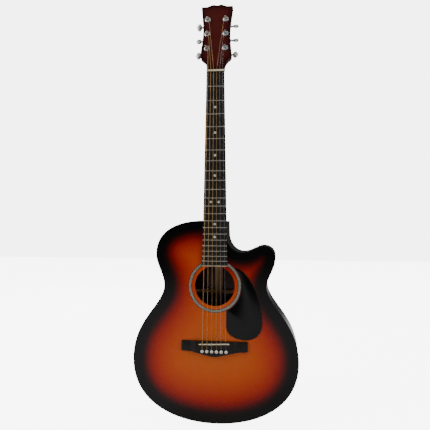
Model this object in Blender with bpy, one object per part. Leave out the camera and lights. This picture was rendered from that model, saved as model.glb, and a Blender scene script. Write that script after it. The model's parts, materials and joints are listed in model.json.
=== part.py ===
"""A steel-string acoustic guitar with a rounded cutaway, upright, as separate solids.

Metres. +Z runs up the neck, -Y is the front, +X is the treble side. The origin is on the
fretboard's playing surface, at the nut.
"""

from math import asin, atan2, ceil, cos, hypot, pi, radians, sin

import bmesh
import bpy
from mathutils import Matrix, Vector

MM = 0.001
GAP = 0.3 * MM  # between two pieces that touch

SCALE_LENGTH = 650 * MM
FRETS = 21

# Neck and fretboard
BOARD_THICKNESS = 6.0 * MM
BOARD_END_Z = -469 * MM
NUT_WIDTH = 42.8 * MM
BOARD_END_WIDTH = 60.2 * MM
FRET_WIDTH = 2.2 * MM
FRET_HEIGHT = 1.0 * MM
NUT_LENGTH = 4.0 * MM
NUT_TOP_Y = -1.8 * MM
NECK_TOP_Y = BOARD_THICKNESS + GAP
HEEL_BOTTOM_Y = 103.0 * MM
HEEL_END_SHARE = 0.36  # of the neck's width, at the heel's cap
TENON_HALF_WIDTH = 10 * MM
TENON_LENGTH = 12 * MM

# Headstock, in its own frame: Z up its face, Y from its face to its back
HEAD_TILT = radians(10)
HEAD_THICKNESS = 15 * MM
HEAD_START = Vector((0, 3.5 * MM, NUT_LENGTH + 1.0 * MM))
HEAD_FRAME = Matrix.Translation(HEAD_START) @ Matrix.Rotation(-HEAD_TILT, 4, "X")

# Body
BODY_TOP_Z = -360 * MM
BODY_TAIL_Z = -844.5 * MM
BODY_FRONT_Y = NECK_TOP_Y
BODY_DEPTH = 100 * MM
BODY_BACK_Y = BODY_FRONT_Y + BODY_DEPTH
PLATE_THICKNESS = 2.8 * MM
SIDE_THICKNESS = 2.4 * MM
BINDING_WIDTH = 2.0 * MM
LINING_WIDTH = 5.5 * MM
LINING_HEIGHT = 14 * MM
INSIDE_FRONT_Y = BODY_FRONT_Y + PLATE_THICKNESS + GAP
INSIDE_BACK_Y = BODY_BACK_Y - PLATE_THICKNESS - GAP
OUTLINE_STEP = 17 * MM

# Sound hole and what surrounds it
HOLE_Z = -517 * MM
HOLE_RADIUS = 48 * MM
ROSETTE_INNER = 56 * MM
ROSETTE_OUTER = 64 * MM
ROSETTE_THICKNESS = 1.0 * MM
GUARD_THICKNESS = 1.5 * MM
GUARD_TOP = (45.6, -471.4)  # where its outer edge meets the rosette, millimetres
GUARD_FOOT = (28.1, -575)  # where it leaves the rosette

# Bridge
BRIDGE_TOP_Z = -647.5 * MM
BRIDGE_HALF_WIDTH = 79.5 * MM
BRIDGE_HEIGHT = 9 * MM
BRIDGE_WING_HEIGHT = 5 * MM
WING_START_X = 44 * MM
WING_FALL_LENGTH = 14 * MM
BRIDGE_BACK_Y = BODY_FRONT_Y - GAP
BRIDGE_FACE_Y = BRIDGE_BACK_Y - BRIDGE_HEIGHT
SADDLE_Z = -654 * MM
SADDLE_SLANT = radians(2.1)
SADDLE_LENGTH = 73 * MM
SADDLE_WIDTH = 3.0 * MM
SADDLE_TOP_Y = -5.2 * MM
SADDLE_FOOT_Y = 2.2 * MM
PIN_Z = -671.5 * MM
PIN_SPACING = 11.5 * MM
PIN_HEAD_RADIUS = 3.8 * MM
PIN_RADIUS = 2.5 * MM
PIN_LENGTH = 25 * MM

# Strings, from the first (thinnest, treble) to the sixth
STRING_DIAMETERS = (0.30 * MM, 0.41 * MM, 0.61 * MM, 0.81 * MM, 1.07 * MM, 1.35 * MM)
NUT_STRING_SPACING = 7.1 * MM
SADDLE_STRING_SPACING = 11.1 * MM
WRAPS = 1.6

# Tuning machines, in a frame on the post's axis: X outwards, Y to the back, Z up the headstock
POST_X = 22.3 * MM
POST_HEIGHTS = (55.7 * MM, 94.2 * MM, 132.7 * MM)
POST_RADIUS = 3.0 * MM
POST_TIP_Y = -13 * MM
WHEEL_TEETH = 14
WORM_LEAD = 2.4 * MM
WHEEL_PITCH_RADIUS = WHEEL_TEETH * WORM_LEAD / (2 * pi)
WHEEL_HALF_THICKNESS = 1.4 * MM
WORM_PITCH_RADIUS = 2.4 * MM
WORM_TURNS = 2.5
TOOTH_HEIGHT = 0.4 * MM  # of the tip above the pitch radius, on the wheel and on the worm
TOOTH_ROOT = 0.7 * MM  # of the root below it
GEAR_Y = HEAD_THICKNESS + GAP + 4.6 * MM
WORM_Z = -(WHEEL_PITCH_RADIUS + WORM_PITCH_RADIUS)
SHAFT_RADIUS = 1.9 * MM
BUTTON_START_X = 17.5 * MM
BUTTON_LENGTH = 13 * MM
BUTTON_HALF_WIDTH = 10 * MM
BUTTON_HALF_THICKNESS = 4 * MM
BUTTON_TURNS = (17, 54, 63, 0, 32, 5)  # degrees, at rest, for strings one to six

# Truss rod
ROD_Y = 13 * MM
ROD_RADIUS = 2.2 * MM
ROD_END_Z = -424 * MM
BLOCK_END_Z = -414 * MM

# name: (red, green, blue), roughness, metallic
FINISHES = {
    "sunburst_top": ((0.50, 0.13, 0.015), 0.15, 0.0),
    "black_lacquer": ((0.010, 0.008, 0.008), 0.15, 0.0),
    "mahogany": ((0.10, 0.018, 0.010), 0.2, 0.0),
    "spruce": ((0.62, 0.42, 0.22), 0.6, 0.0),
    "block_wood": ((0.42, 0.24, 0.12), 0.6, 0.0),
    "black_wood": ((0.012, 0.010, 0.009), 0.45, 0.0),
    "black_plastic": ((0.008, 0.008, 0.008), 0.2, 0.0),
    "pearl": ((0.42, 0.42, 0.38), 0.3, 0.0),
    "bone": ((0.80, 0.74, 0.58), 0.35, 0.0),
    "white_plastic": ((0.85, 0.83, 0.76), 0.3, 0.0),
    "chrome": ((0.80, 0.80, 0.82), 0.12, 1.0),
    "steel": ((0.55, 0.55, 0.56), 0.3, 1.0),
    "bronze": ((0.65, 0.42, 0.20), 0.35, 1.0),
}


def material(finish):
    """The Principled material of a finish, made once."""
    if finish in bpy.data.materials:
        return bpy.data.materials[finish]
    color, roughness, metallic = FINISHES[finish]
    made = bpy.data.materials.new(finish)
    made.use_nodes = True
    shader = made.node_tree.nodes["Principled BSDF"]
    shader.inputs["Base Color"].default_value = (*color, 1)
    shader.inputs["Roughness"].default_value = roughness
    shader.inputs["Metallic"].default_value = metallic
    made.diffuse_color = (*color, 1)
    return made


def solid(name, points, faces, finish, frame=None, smooth=False):
    """An object from points and faces, placed by a matrix."""
    mesh = bpy.data.meshes.new(name)
    work = bmesh.new()
    corners = [work.verts.new(point) for point in points]
    for face in faces:
        work.faces.new([corners[i] for i in face])
    bmesh.ops.recalc_face_normals(work, faces=work.faces)
    work.to_mesh(mesh)
    work.free()
    if smooth:
        mesh.shade_smooth()
        mesh.set_sharp_from_angle(angle=radians(35))
    made = bpy.data.objects.new(name, mesh)
    bpy.context.scene.collection.objects.link(made)
    if finish:
        mesh.materials.append(material(finish))
    if frame is not None:
        made.matrix_world = frame
    return made


def loft(name, rings, finish, frame=None, closed=False, smooth=True):
    """A skin over rings of equal length, capped at both ends or joined into a loop."""
    size = len(rings[0])
    points = [point for ring in rings for point in ring]
    faces = []
    for i in range(len(rings) - (not closed)):
        here, there = i * size, (i + 1) % len(rings) * size
        for j in range(size):
            k = (j + 1) % size
            faces.append((here + j, here + k, there + k, there + j))
    if not closed:
        faces.append(tuple(range(size)))
        faces.append(tuple(range((len(rings) - 1) * size, len(rings) * size)))
    return solid(name, points, faces, finish, frame, smooth)


def plate(name, outline, front, back, finish, frame=None):
    """A flat plate from a closed outline of (x, z), between two heights along Y."""
    rings = [[(x, y, z) for x, z in outline] for y in (front, back)]
    return loft(name, rings, finish, frame, smooth=False)


def band(name, outer, inner, front, back, finish, closed=True):
    """An upright wall between two matching paths of (x, z)."""
    rings = []
    for (ax, az), (bx, bz) in zip(outer, inner):
        rings.append([(ax, front, az), (bx, front, bz), (bx, back, bz), (ax, back, az)])
    return loft(name, rings, finish, closed=closed)


def box(name, low, high, finish, frame=None):
    """A block between two opposite corners."""
    outline = [(low[0], low[2]), (high[0], low[2]), (high[0], high[2]), (low[0], high[2])]
    return plate(name, outline, low[1], high[1], finish, frame)


def circle(radius, sides, turn=0.0):
    """Points (u, v) around a circle."""
    angles = [turn + 2 * pi * i / sides for i in range(sides)]
    return [(radius * cos(a), radius * sin(a)) for a in angles]


def turned(name, profile, sides, finish, frame=None, turn=0.0):
    """A turned solid along Y, from (y, radius) pairs."""
    rings = [[(u, y, v) for u, v in circle(radius, sides, turn)] for y, radius in profile]
    return loft(name, rings, finish, frame)


def cutter(made):
    """Marks an object as a cutter, which isn't part of the guitar."""
    made.hide_render = True
    made.display_type = "WIRE"
    return made


def boolean(target, other, operation="DIFFERENCE"):
    """Adds a Boolean to an object and keeps the other one as its hidden tool."""
    step = target.modifiers.new(operation.title(), "BOOLEAN")
    step.operation = operation
    step.solver = "EXACT"
    step.object = cutter(other)
    return target


def bezier(start, start_handle, end_handle, end, steps):
    """Points along a cubic curve, without its last one."""
    points = []
    for i in range(steps):
        t = i / steps
        weights = ((1 - t) ** 3, 3 * (1 - t) ** 2 * t, 3 * (1 - t) * t**2, t**3)
        curve = (start, start_handle, end_handle, end)
        points.append(tuple(sum(w * p[axis] for w, p in zip(weights, curve)) for axis in (0, 1)))
    return points


def curved_outline(anchors, step):
    """A closed outline through anchors of (x, z, handle in, handle out), all in millimetres.

    A handle is an offset from its anchor, and a side with no handle at either end is straight.
    """
    points = []
    for here, there in zip(anchors, anchors[1:] + anchors[:1]):
        start = (here[0] * MM, here[1] * MM)
        end = (there[0] * MM, there[1] * MM)
        leave, arrive = here[3], there[2]
        if leave == (0, 0) and arrive == (0, 0):
            points.append(start)
            continue
        a = (start[0] + leave[0] * MM, start[1] + leave[1] * MM)
        b = (end[0] + arrive[0] * MM, end[1] + arrive[1] * MM)
        length = hypot(end[0] - start[0], end[1] - start[1])
        points += bezier(start, a, b, end, max(3, ceil(length / step)))
    return points


def inset(path, distance):
    """A closed path moved inwards, with its corners kept sharp. It runs counter-clockwise."""
    moved = []
    for i, (x, z) in enumerate(path):
        before, after = path[i - 1], path[(i + 1) % len(path)]
        first = Vector((x - before[0], z - before[1])).normalized()
        second = Vector((after[0] - x, after[1] - z)).normalized()
        normal = Vector((-first.y - second.y, first.x + second.x)).normalized()
        spread = normal.dot(Vector((-first.y, first.x)))
        moved.append((x + normal.x * distance / spread, z + normal.y * distance / spread))
    return moved


def body_outline():
    """The body's outer edge, counter-clockwise: neck, bass side, tail, treble side, cutaway."""
    no = (0, 0)
    anchors = [
        (10.5, -360, no, no),
        (-10.5, -360, no, no),
        (-28, -360, no, (-57, 0)),
        (-144.3, -441, (0, 61), (0, -27)),
        (-124, -516, (0, 26), (0, -49)),
        (-199.7, -695, (0, 96), (0, -102)),
        (0, -844.5, (-105, 0), (105, 0)),
        (199.7, -695, (0, -102), (0, 96)),
        (124, -516, (0, -49), (0, 19)),
        (144.6, -448, (0, -26), (0, 16.5)),
        (116, -419.8, (17, 0), (-17, 0)),
        (65, -435.6, (20, 0), (-25, 0)),
        (27, -392, (0, -18), no),
        (26, -360, no, no),
    ]
    return curved_outline(anchors, OUTLINE_STEP)


def headstock_outline():
    """The headstock's face, with two low humps along its top edge."""
    no = (0, 0)
    half = [
        (21.5, 0, no, no),
        (21.7, 8, no, (0.5, 8)),
        (34, 28, (-6, -4), (3, 2)),
        (38, 38, (0, -5), (0, 12)),
        (33, 100, (0, -25), (0, 25)),
        (39, 169, (-2, -25), no),
        (27, 169, no, (-6, 0)),
        (9, 174, (6, 0), (-5, 0)),
        (0, 171.8, (3, 0), no),
    ]
    other = [(-x, z, (-b[0], b[1]), (-a[0], a[1])) for x, z, a, b in reversed(half[:-1])]
    return curved_outline(half + other, 6 * MM)


def board_width(z):
    """The fretboard's width, which grows evenly from the nut to its end."""
    return NUT_WIDTH + (BOARD_END_WIDTH - NUT_WIDTH) * z / BOARD_END_Z


def string_x(number, spacing):
    """A string's place across the neck. String one is on the treble side."""
    return (3.5 - number) * spacing


def bar(name, start, end, width, front, back, finish):
    """A straight brace between two (x, z) points."""
    along = Vector((end[0] - start[0], end[1] - start[1])).normalized() * width / 2
    side = Vector((-along.y, along.x))
    outline = [
        (start[0] + side.x, start[1] + side.y),
        (start[0] - side.x, start[1] - side.y),
        (end[0] - side.x, end[1] - side.y),
        (end[0] + side.x, end[1] + side.y),
    ]
    return plate(name, outline, front, back, finish)


def joined_bars(name, bars, front, back):
    """One brace from crossing bars, each (start x, start z, end x, end z, width) in millimetres."""
    first, *rest = [
        bar(name if i == 0 else f"{name}_bar_{i}", (a * MM, b * MM), (c * MM, d * MM), w * MM,
            front, back, "spruce")
        for i, (a, b, c, d, w) in enumerate(bars)
    ]
    for other in rest:
        boolean(first, other, "UNION")
    return first


def make_plates(outline):
    """The soundboard with its binding and rosette, and the back."""
    inner_edge = inset(outline, BINDING_WIDTH)
    plate_back = BODY_FRONT_Y + PLATE_THICKNESS
    board = plate("soundboard", inset(outline, BINDING_WIDTH + GAP), BODY_FRONT_Y, plate_back,
                  "sunburst_top")
    hole = Matrix.Translation((0, 0, HOLE_Z))
    reach = 10 * MM
    boolean(board, turned("sound_hole_cutter", [(-reach, HOLE_RADIUS), (2 * reach, HOLE_RADIUS)],
                          36, None, hole))
    groove = ring_loft("rosette_groove_cutter", ROSETTE_INNER - GAP, ROSETTE_OUTER + GAP,
                       BODY_FRONT_Y - MM, BODY_FRONT_Y + ROSETTE_THICKNESS + GAP, None, hole)
    boolean(board, groove)
    boolean(board, pin_hole_cutter())
    band("top_binding", outline, inner_edge, BODY_FRONT_Y, plate_back, "black_plastic")
    plate("back", outline, BODY_BACK_Y - PLATE_THICKNESS, BODY_BACK_Y, "black_lacquer")
    ring_loft("rosette", ROSETTE_INNER, ROSETTE_OUTER, BODY_FRONT_Y,
              BODY_FRONT_Y + ROSETTE_THICKNESS, "pearl", hole)


def ring_loft(name, inner, outer, front, back, finish, frame, sides=36):
    """A flat ring around the Y axis of its frame."""
    rings = []
    for (a, b), (c, d) in zip(circle(outer, sides), circle(inner, sides)):
        rings.append([(a, front, b), (c, front, d), (c, back, d), (a, back, b)])
    return loft(name, rings, finish, frame, closed=True)


def pin_hole_cutter():
    """Six round holes through the bridge, the soundboard and the bridge plate."""
    name = "pin_hole_cutter"
    if name in bpy.data.objects:
        return bpy.data.objects[name]
    points, faces = [], []
    sides = 12
    for number in range(1, 7):
        x = string_x(number, PIN_SPACING)
        first = len(points)
        for y in (-20 * MM, 40 * MM):
            points += [(x + u, y, PIN_Z + v) for u, v in circle(PIN_RADIUS + 0.4 * MM, sides)]
        for j in range(sides):
            k = (j + 1) % sides
            faces.append((first + j, first + k, first + sides + k, first + sides + j))
        faces.append(tuple(range(first, first + sides)))
        faces.append(tuple(range(first + sides, first + 2 * sides)))
    return solid(name, points, faces, None)


def make_sides(outline):
    """The bass and treble sides, which meet at the tail with a hairline between them."""
    tail = min(range(len(outline)), key=lambda i: outline[i][1])
    inner = inset(outline, SIDE_THICKNESS)
    seam = GAP / 2
    end_hole = turned("end_pin_hole_cutter", [(-30 * MM, 5.3 * MM), (60 * MM, 5.3 * MM)], 16, None,
                      end_pin_frame())
    for name, stations, sign in (
        ("side_bass", range(1, tail + 1), -1),
        ("side_treble", [*range(tail, len(outline)), 0], 1),
    ):
        paths = []
        for path in (outline, inner):
            paths.append([(sign * seam, path[i][1]) if i == tail else path[i] for i in stations])
        made = band(name, *paths, INSIDE_FRONT_Y, INSIDE_BACK_Y, "black_lacquer", closed=False)
        boolean(made, end_hole)


def make_blocks(outline):
    """The neck block with its mortise, and the tail block."""
    ledge = BODY_TOP_Z - SIDE_THICKNESS - 0.4 * MM
    block = box("neck_block", (-32 * MM, INSIDE_FRONT_Y, BLOCK_END_Z),
                (23 * MM, INSIDE_BACK_Y, ledge), "block_wood")
    mortise = TENON_HALF_WIDTH + GAP
    boolean(block, box("mortise_cutter", (-mortise, -MM, BODY_TOP_Z - TENON_LENGTH - GAP),
                       (mortise, 90 * MM, BODY_TOP_Z + MM), None))
    boolean(block, box("block_channel_cutter", (-3.6 * MM, -MM, BLOCK_END_Z - 5 * MM),
                       (3.6 * MM, 16.5 * MM, BODY_TOP_Z), None))
    edge = inset(outline, SIDE_THICKNESS + GAP)
    low = [point for point in edge if abs(point[0]) < 45 * MM and point[1] < -830 * MM]
    tail_outline = low + [(low[-1][0], -818 * MM), (low[0][0], -818 * MM)]
    lining = LINING_HEIGHT + GAP
    tail = plate("tail_block", tail_outline, INSIDE_FRONT_Y + lining, INSIDE_BACK_Y - lining,
                 "block_wood")
    boolean(tail, bpy.data.objects["end_pin_hole_cutter"])


def make_linings(outline):
    """The strips that widen the glue joint between the sides and each plate."""
    outer = inset(outline, SIDE_THICKNESS + GAP)
    inner = inset(outline, SIDE_THICKNESS + GAP + LINING_WIDTH)
    keep = [
        i for i, (x, z) in enumerate(outline)
        if x < -36 * MM or z < -440 * MM or (x > 36 * MM and z < -400 * MM)
    ]
    paths = [[path[i] for i in keep] for path in (outer, inner)]
    band("lining_top", *paths, INSIDE_FRONT_Y, INSIDE_FRONT_Y + LINING_HEIGHT, "block_wood",
         closed=False)
    band("lining_back", *paths, INSIDE_BACK_Y - LINING_HEIGHT, INSIDE_BACK_Y, "block_wood",
         closed=False)


def make_bracing():
    """The crossed braces under the soundboard, those on the back, and the bridge plate."""
    brace_back = INSIDE_FRONT_Y + 13 * MM
    joined_bars("top_bracing", (
        (-98, -497, 150, -745, 8),
        (98, -497, -150, -745, 8),
        (-105, -700, 70, -758, 7),
        (-140, -735, 25, -798, 7),
        (70, -665, 145, -640, 6),
        (105, -700, 168, -685, 6),
        (-70, -665, -145, -640, 6),
        (-105, -700, -168, -685, 6),
    ), INSIDE_FRONT_Y, brace_back)
    across = bar("upper_transverse_brace", (-128 * MM, -452 * MM), (128 * MM, -452 * MM), 12 * MM,
                 INSIDE_FRONT_Y, INSIDE_FRONT_Y + 16 * MM, "spruce")
    boolean(across, box("key_notch_cutter", (-5.5 * MM, 0, -470 * MM), (5.5 * MM, 19 * MM, -440 * MM),
                        None))
    joined_bars("back_bracing", (
        (0, -424, 0, -816, 20),
        (-126, -455, 126, -455, 8),
        (-106, -540, 106, -540, 8),
        (-172, -640, 172, -640, 8),
        (-172, -745, 172, -745, 8),
    ), INSIDE_BACK_Y - 12 * MM, INSIDE_BACK_Y)
    bridge_plate = box("bridge_plate", (-44 * MM, INSIDE_FRONT_Y, -688 * MM),
                       (44 * MM, INSIDE_FRONT_Y + 2.8 * MM, -648 * MM), "block_wood")
    boolean(bridge_plate, pin_hole_cutter())


def make_pickguard():
    """A teardrop plate that follows the rosette and widens towards the bridge."""
    no = (0, 0)
    anchors = [
        (113.6, -603, (0, -26), (0, 55)),
        (*GUARD_TOP, (39, -6), no),
        (*GUARD_FOOT, no, no),
        (28.1, -612, no, (0, -22)),
        (75, -643.5, (-25, 0), (23, 0)),
    ]
    outline = curved_outline(anchors, 9 * MM)
    corner = outline.index((GUARD_TOP[0] * MM, GUARD_TOP[1] * MM))
    radius = ROSETTE_OUTER + 2 * GAP
    first, last = (atan2(z * MM - HOLE_Z, x * MM) for x, z in (GUARD_TOP, GUARD_FOOT))
    arc = []
    steps = 12
    for i in range(1, steps):
        angle = first + (last - first) * i / steps
        arc.append((radius * cos(angle), HOLE_Z + radius * sin(angle)))
    outline[corner + 1:corner + 1] = arc
    plate("pickguard", outline, BODY_FRONT_Y - GAP - GUARD_THICKNESS, BODY_FRONT_Y - GAP,
          "black_plastic")


def bridge_lower_edge(x):
    """The height of the bridge's lower edge: straight wings that flow into a belly."""
    share = abs(x) / BRIDGE_HALF_WIDTH
    belly = cos(pi * min(share, 0.75) / 1.5) ** 2
    return (-671.5 - 5 * (1 - share) - 7.5 * belly) * MM


def make_bridge():
    """The bridge with thinner wings, and its saddle, pins and holes."""
    rings = []
    steps = 28
    for i in range(steps + 1):
        x = BRIDGE_HALF_WIDTH * (2 * i / steps - 1)
        wing = min(1, max(0, (abs(x) - WING_START_X) / WING_FALL_LENGTH))
        fall = (3 - 2 * wing) * wing**2
        face = BRIDGE_FACE_Y + (BRIDGE_HEIGHT - BRIDGE_WING_HEIGHT) * fall
        low = bridge_lower_edge(x)
        rings.append([(x, BRIDGE_BACK_Y, BRIDGE_TOP_Z), (x, BRIDGE_BACK_Y, low),
                      (x, face, low), (x, face, BRIDGE_TOP_Z)])
    bridge = loft("bridge", rings, "black_wood")
    saddle_frame = Matrix.Translation((0, 0, SADDLE_Z)) @ Matrix.Rotation(-SADDLE_SLANT, 4, "Y")
    half, deep = SADDLE_LENGTH / 2, SADDLE_WIDTH / 2
    boolean(bridge, box("saddle_slot_cutter", (-half - GAP, -20 * MM, -deep - GAP),
                        (half + GAP, SADDLE_FOOT_Y + GAP, deep + GAP), None, saddle_frame))
    boolean(bridge, pin_hole_cutter())
    box("saddle", (-half, SADDLE_TOP_Y, -deep), (half, SADDLE_FOOT_Y, deep), "bone", saddle_frame)
    seat = BRIDGE_FACE_Y - GAP
    profile = (
        (seat - 3.2 * MM, 1.2 * MM), (seat - 2.6 * MM, 2.8 * MM), (seat - 1.2 * MM, PIN_HEAD_RADIUS),
        (seat, PIN_HEAD_RADIUS * 0.9), (seat, PIN_RADIUS), (seat + PIN_LENGTH, PIN_RADIUS * 0.8),
    )
    for number in range(1, 7):
        place = Matrix.Translation((string_x(number, PIN_SPACING), 0, PIN_Z))
        turned(f"bridge_pin_{number}", profile, 10, "white_plastic", place)


def end_pin_frame():
    """A frame whose Y axis points down, at the middle of the tail."""
    middle = (BODY_FRONT_Y + BODY_BACK_Y) / 2
    return Matrix.Translation((0, middle, BODY_TAIL_Z)) @ Matrix.Rotation(-pi / 2, 4, "X")


def make_end_pin():
    """The strap button, a turned pin pushed into the tail block."""
    profile = (
        (-18 * MM, 4.2 * MM), (GAP, 5.0 * MM), (GAP, 7.0 * MM), (2.5 * MM, 6.0 * MM),
        (6 * MM, 4.8 * MM), (8.5 * MM, 7.0 * MM), (10 * MM, 7.2 * MM), (11 * MM, 6.2 * MM),
    )
    turned("end_pin", profile, 16, "black_plastic", end_pin_frame())


# Half of the neck's cross-section, as shares of the half width and of the depth
SHAFT_SECTION = ((1, 0), (0.99, 0.25), (0.93, 0.5), (0.8, 0.72), (0.6, 0.88), (0.32, 0.97), (0, 1))
HEEL_SECTION = ((1, 0), (0.86, 0.2), (0.62, 0.45), (0.5, 0.7), (0.44, 0.94),
                (HEEL_END_SHARE, 1), (0, 1))
# (z, how deep the neck is behind its front, how much of the heel's section it has), millimetres
NECK_STATIONS = (
    (14, 13.0, 0), (4, 14.7, 0), (-30, 15.0, 0), (-140, 15.8, 0), (-300, 17.0, 0),
    (-318, 19.0, 0.05), (-327, 25, 0.2), (-333, 37, 0.5), (-337, 55, 0.8), (-340, 78, 0.95),
    (-342, 96.7, 1), (-359.7, 96.7, 1),
)


def neck_ring(z, depth, heel):
    """One cross-section of the neck behind its flat front."""
    half = board_width(min(z, 0)) / 2
    shape = []
    for (a, b), (c, d) in zip(SHAFT_SECTION, HEEL_SECTION):
        shape.append((a + (c - a) * heel, b + (d - b) * heel))
    both = [(-x, y) for x, y in shape] + [(x, y) for x, y in reversed(shape[:-1])]
    return [(x * half, NECK_TOP_Y + y * depth, z) for x, y in both]


def make_neck():
    """The neck: shaft, heel with a tenon, and tilted headstock, in one piece."""
    rings = [neck_ring(z * MM, depth * MM, heel) for z, depth, heel in NECK_STATIONS]
    neck = loft("neck", rings, "mahogany")
    head = plate("headstock_blank", headstock_outline(), 0, HEAD_THICKNESS, None, HEAD_FRAME)
    boolean(neck, head, "UNION")
    tenon = box("tenon_blank", (-TENON_HALF_WIDTH, NECK_TOP_Y + 3.2 * MM, BODY_TOP_Z - TENON_LENGTH),
                (TENON_HALF_WIDTH, 89 * MM, BODY_TOP_Z + 6 * MM), None)
    boolean(neck, tenon, "UNION")
    for string in range(1, 7):
        hole = turned(f"tuner_hole_cutter_{string}", [(-5 * MM, 5.2 * MM), (30 * MM, 5.2 * MM)], 16,
                      None, tuner_frame(string))
        boolean(neck, hole)
    boolean(neck, box("rod_channel_cutter", (-3.2 * MM, 0, BODY_TOP_Z - 30 * MM),
                      (3.2 * MM, 16 * MM, -6 * MM), None))
    width = HEEL_END_SHARE * board_width(-342 * MM) / 2
    cap = [(-width, -359.5 * MM), (width, -359.5 * MM), (width, -346 * MM),
           (width * 0.6, -342.2 * MM), (-width * 0.6, -342.2 * MM), (-width, -346 * MM)]
    plate("heel_cap", cap, HEEL_BOTTOM_Y + GAP, BODY_BACK_Y, "black_plastic")
    box("nut", (-NUT_WIDTH / 2, NUT_TOP_Y, 0), (NUT_WIDTH / 2, BOARD_THICKNESS, NUT_LENGTH), "bone")


def make_fretboard():
    """The fretboard with its frets, from a side profile spread to the board's width."""
    profile = [(-GAP, 0)]
    for number in range(1, FRETS + 1):
        z = -SCALE_LENGTH * (1 - 2 ** (-number / 12))
        half = FRET_WIDTH / 2
        profile += [(z + half, 0), (z + half * 0.5, -FRET_HEIGHT), (z - half * 0.5, -FRET_HEIGHT),
                    (z - half, 0)]
    profile += [(BOARD_END_Z, 0), (BOARD_END_Z, BOARD_THICKNESS), (-GAP, BOARD_THICKNESS)]
    rings = [[(side * board_width(z) / 2, y, z) for z, y in profile] for side in (-1, 1)]
    loft("fretboard", rings, "black_wood", smooth=False)


def make_truss_rod():
    """The rod under the fretboard, and the nut that tightens it from inside the body."""
    place = Matrix.Translation((0, ROD_Y, 0)) @ Matrix.Rotation(-pi / 2, 4, "X")
    turned("truss_rod", [(8 * MM, ROD_RADIUS), (-ROD_END_Z, ROD_RADIUS)], 12, "steel", place)
    top, bottom = -BLOCK_END_Z + GAP, 434 * MM
    nut = turned("truss_nut", [(top, 3.4 * MM), (bottom, 3.4 * MM)], 16, "steel", place)
    bore = ROD_RADIUS + 0.4 * MM
    boolean(nut, turned("nut_bore_cutter", [(top - MM, bore), (425 * MM, bore)], 12, None, place))
    key = 2.2 * MM
    boolean(nut, turned("hex_socket_cutter", [(428 * MM, key), (bottom + MM, key)], 6, None, place))


def tuner_frame(string):
    """The frame of one tuning machine on the headstock. Strings one to three are on the right."""
    side = 1 if string <= 3 else -1
    height = POST_HEIGHTS[string - 1 if string <= 3 else 6 - string]
    mirror = Matrix.Diagonal((side, 1, 1, 1))
    return HEAD_FRAME @ Matrix.Translation((side * POST_X, 0, height)) @ mirror


def make_bushing(string):
    """Washer, hexagon and threaded barrel, as one turned piece around the post."""
    name = f"tuner_{string}_bushing"
    place = tuner_frame(string)
    made = turned(name, [(-1.4 * MM, 7 * MM), (-GAP, 7 * MM), (-GAP, 4.8 * MM),
                         (HEAD_THICKNESS - 3 * MM, 4.8 * MM)], 12, "chrome", place)
    boolean(made, turned(f"{name}_hexagon", [(-3.8 * MM, 5.6 * MM), (-MM, 5.6 * MM)], 6, None, place),
            "UNION")
    bore = POST_RADIUS + GAP
    boolean(made, turned(f"{name}_bore_cutter", [(-9 * MM, bore), (20 * MM, bore)], 12, None, place))


def worm_wheel_outline():
    """The wheel's toothed edge, with a gap between two teeth towards the worm."""
    pitch = 2 * pi / WHEEL_TEETH
    shape = ((-0.37, -TOOTH_ROOT), (-0.14, TOOTH_HEIGHT), (0.14, TOOTH_HEIGHT), (0.37, -TOOTH_ROOT))
    points = []
    for tooth in range(WHEEL_TEETH):
        for share, height in shape:
            angle = -pi / 2 + (tooth + 0.5 + share) * pitch
            points.append((angle, WHEEL_PITCH_RADIUS + height))
    return points


def make_post(string):
    """The string post with the worm wheel on its inner end."""
    name = f"tuner_{string}_post"
    place = tuner_frame(string)
    profile = (
        (POST_TIP_Y, 2.4 * MM), (POST_TIP_Y + 0.8 * MM, POST_RADIUS), (GEAR_Y, POST_RADIUS),
    )
    post = turned(name, profile, 10, "chrome", place)
    lean = WHEEL_HALF_THICKNESS * WORM_LEAD / (2 * pi * WORM_PITCH_RADIUS) / WHEEL_PITCH_RADIUS
    rings = []
    for end in (-1, 1):
        rings.append([
            (r * cos(a + end * lean), GEAR_Y + end * WHEEL_HALF_THICKNESS, r * sin(a + end * lean))
            for a, r in worm_wheel_outline()
        ])
    boolean(post, loft(f"{name}_wheel", rings, None, place), "UNION")


def make_knob(string):
    """The worm, its shaft and the button that turns it."""
    name = f"tuner_{string}_knob"
    axis = tuner_frame(string) @ Matrix.Translation((0, GEAR_Y, WORM_Z)) @ Matrix.Rotation(-pi / 2, 4, "Z")
    core = WORM_PITCH_RADIUS - TOOTH_ROOT
    half = WORM_LEAD * WORM_TURNS / 2 + 0.6 * MM
    profile = ((-half, core), (half, core), (half, SHAFT_RADIUS), (BUTTON_START_X + MM, SHAFT_RADIUS))
    knob = turned(name, profile, 8, "chrome", axis)
    boolean(knob, loft(f"{name}_thread", worm_thread(), None, axis), "UNION")
    turn = radians(BUTTON_TURNS[string - 1])
    boolean(knob, loft(f"{name}_button", button_rings(turn), None, axis), "UNION")


def worm_thread():
    """The rings of the worm's thread, a ridge of trapezoid section around its Y axis."""
    sides = 8
    section = ((-0.62 * MM, -TOOTH_ROOT - 0.2 * MM), (-0.29 * MM, TOOTH_HEIGHT),
               (0.29 * MM, TOOTH_HEIGHT), (0.62 * MM, -TOOTH_ROOT - 0.2 * MM))
    steps = round(sides * WORM_TURNS)
    rings = []
    for i in range(steps + 1):
        turns = i / sides - WORM_TURNS / 2
        angle = pi / 2 - 2 * pi * turns
        ring = []
        for along, height in section:
            radius = WORM_PITCH_RADIUS + height
            y = turns * WORM_LEAD + along
            ring.append((radius * cos(angle), y, radius * sin(angle)))
        rings.append(ring)
    return rings


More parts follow.
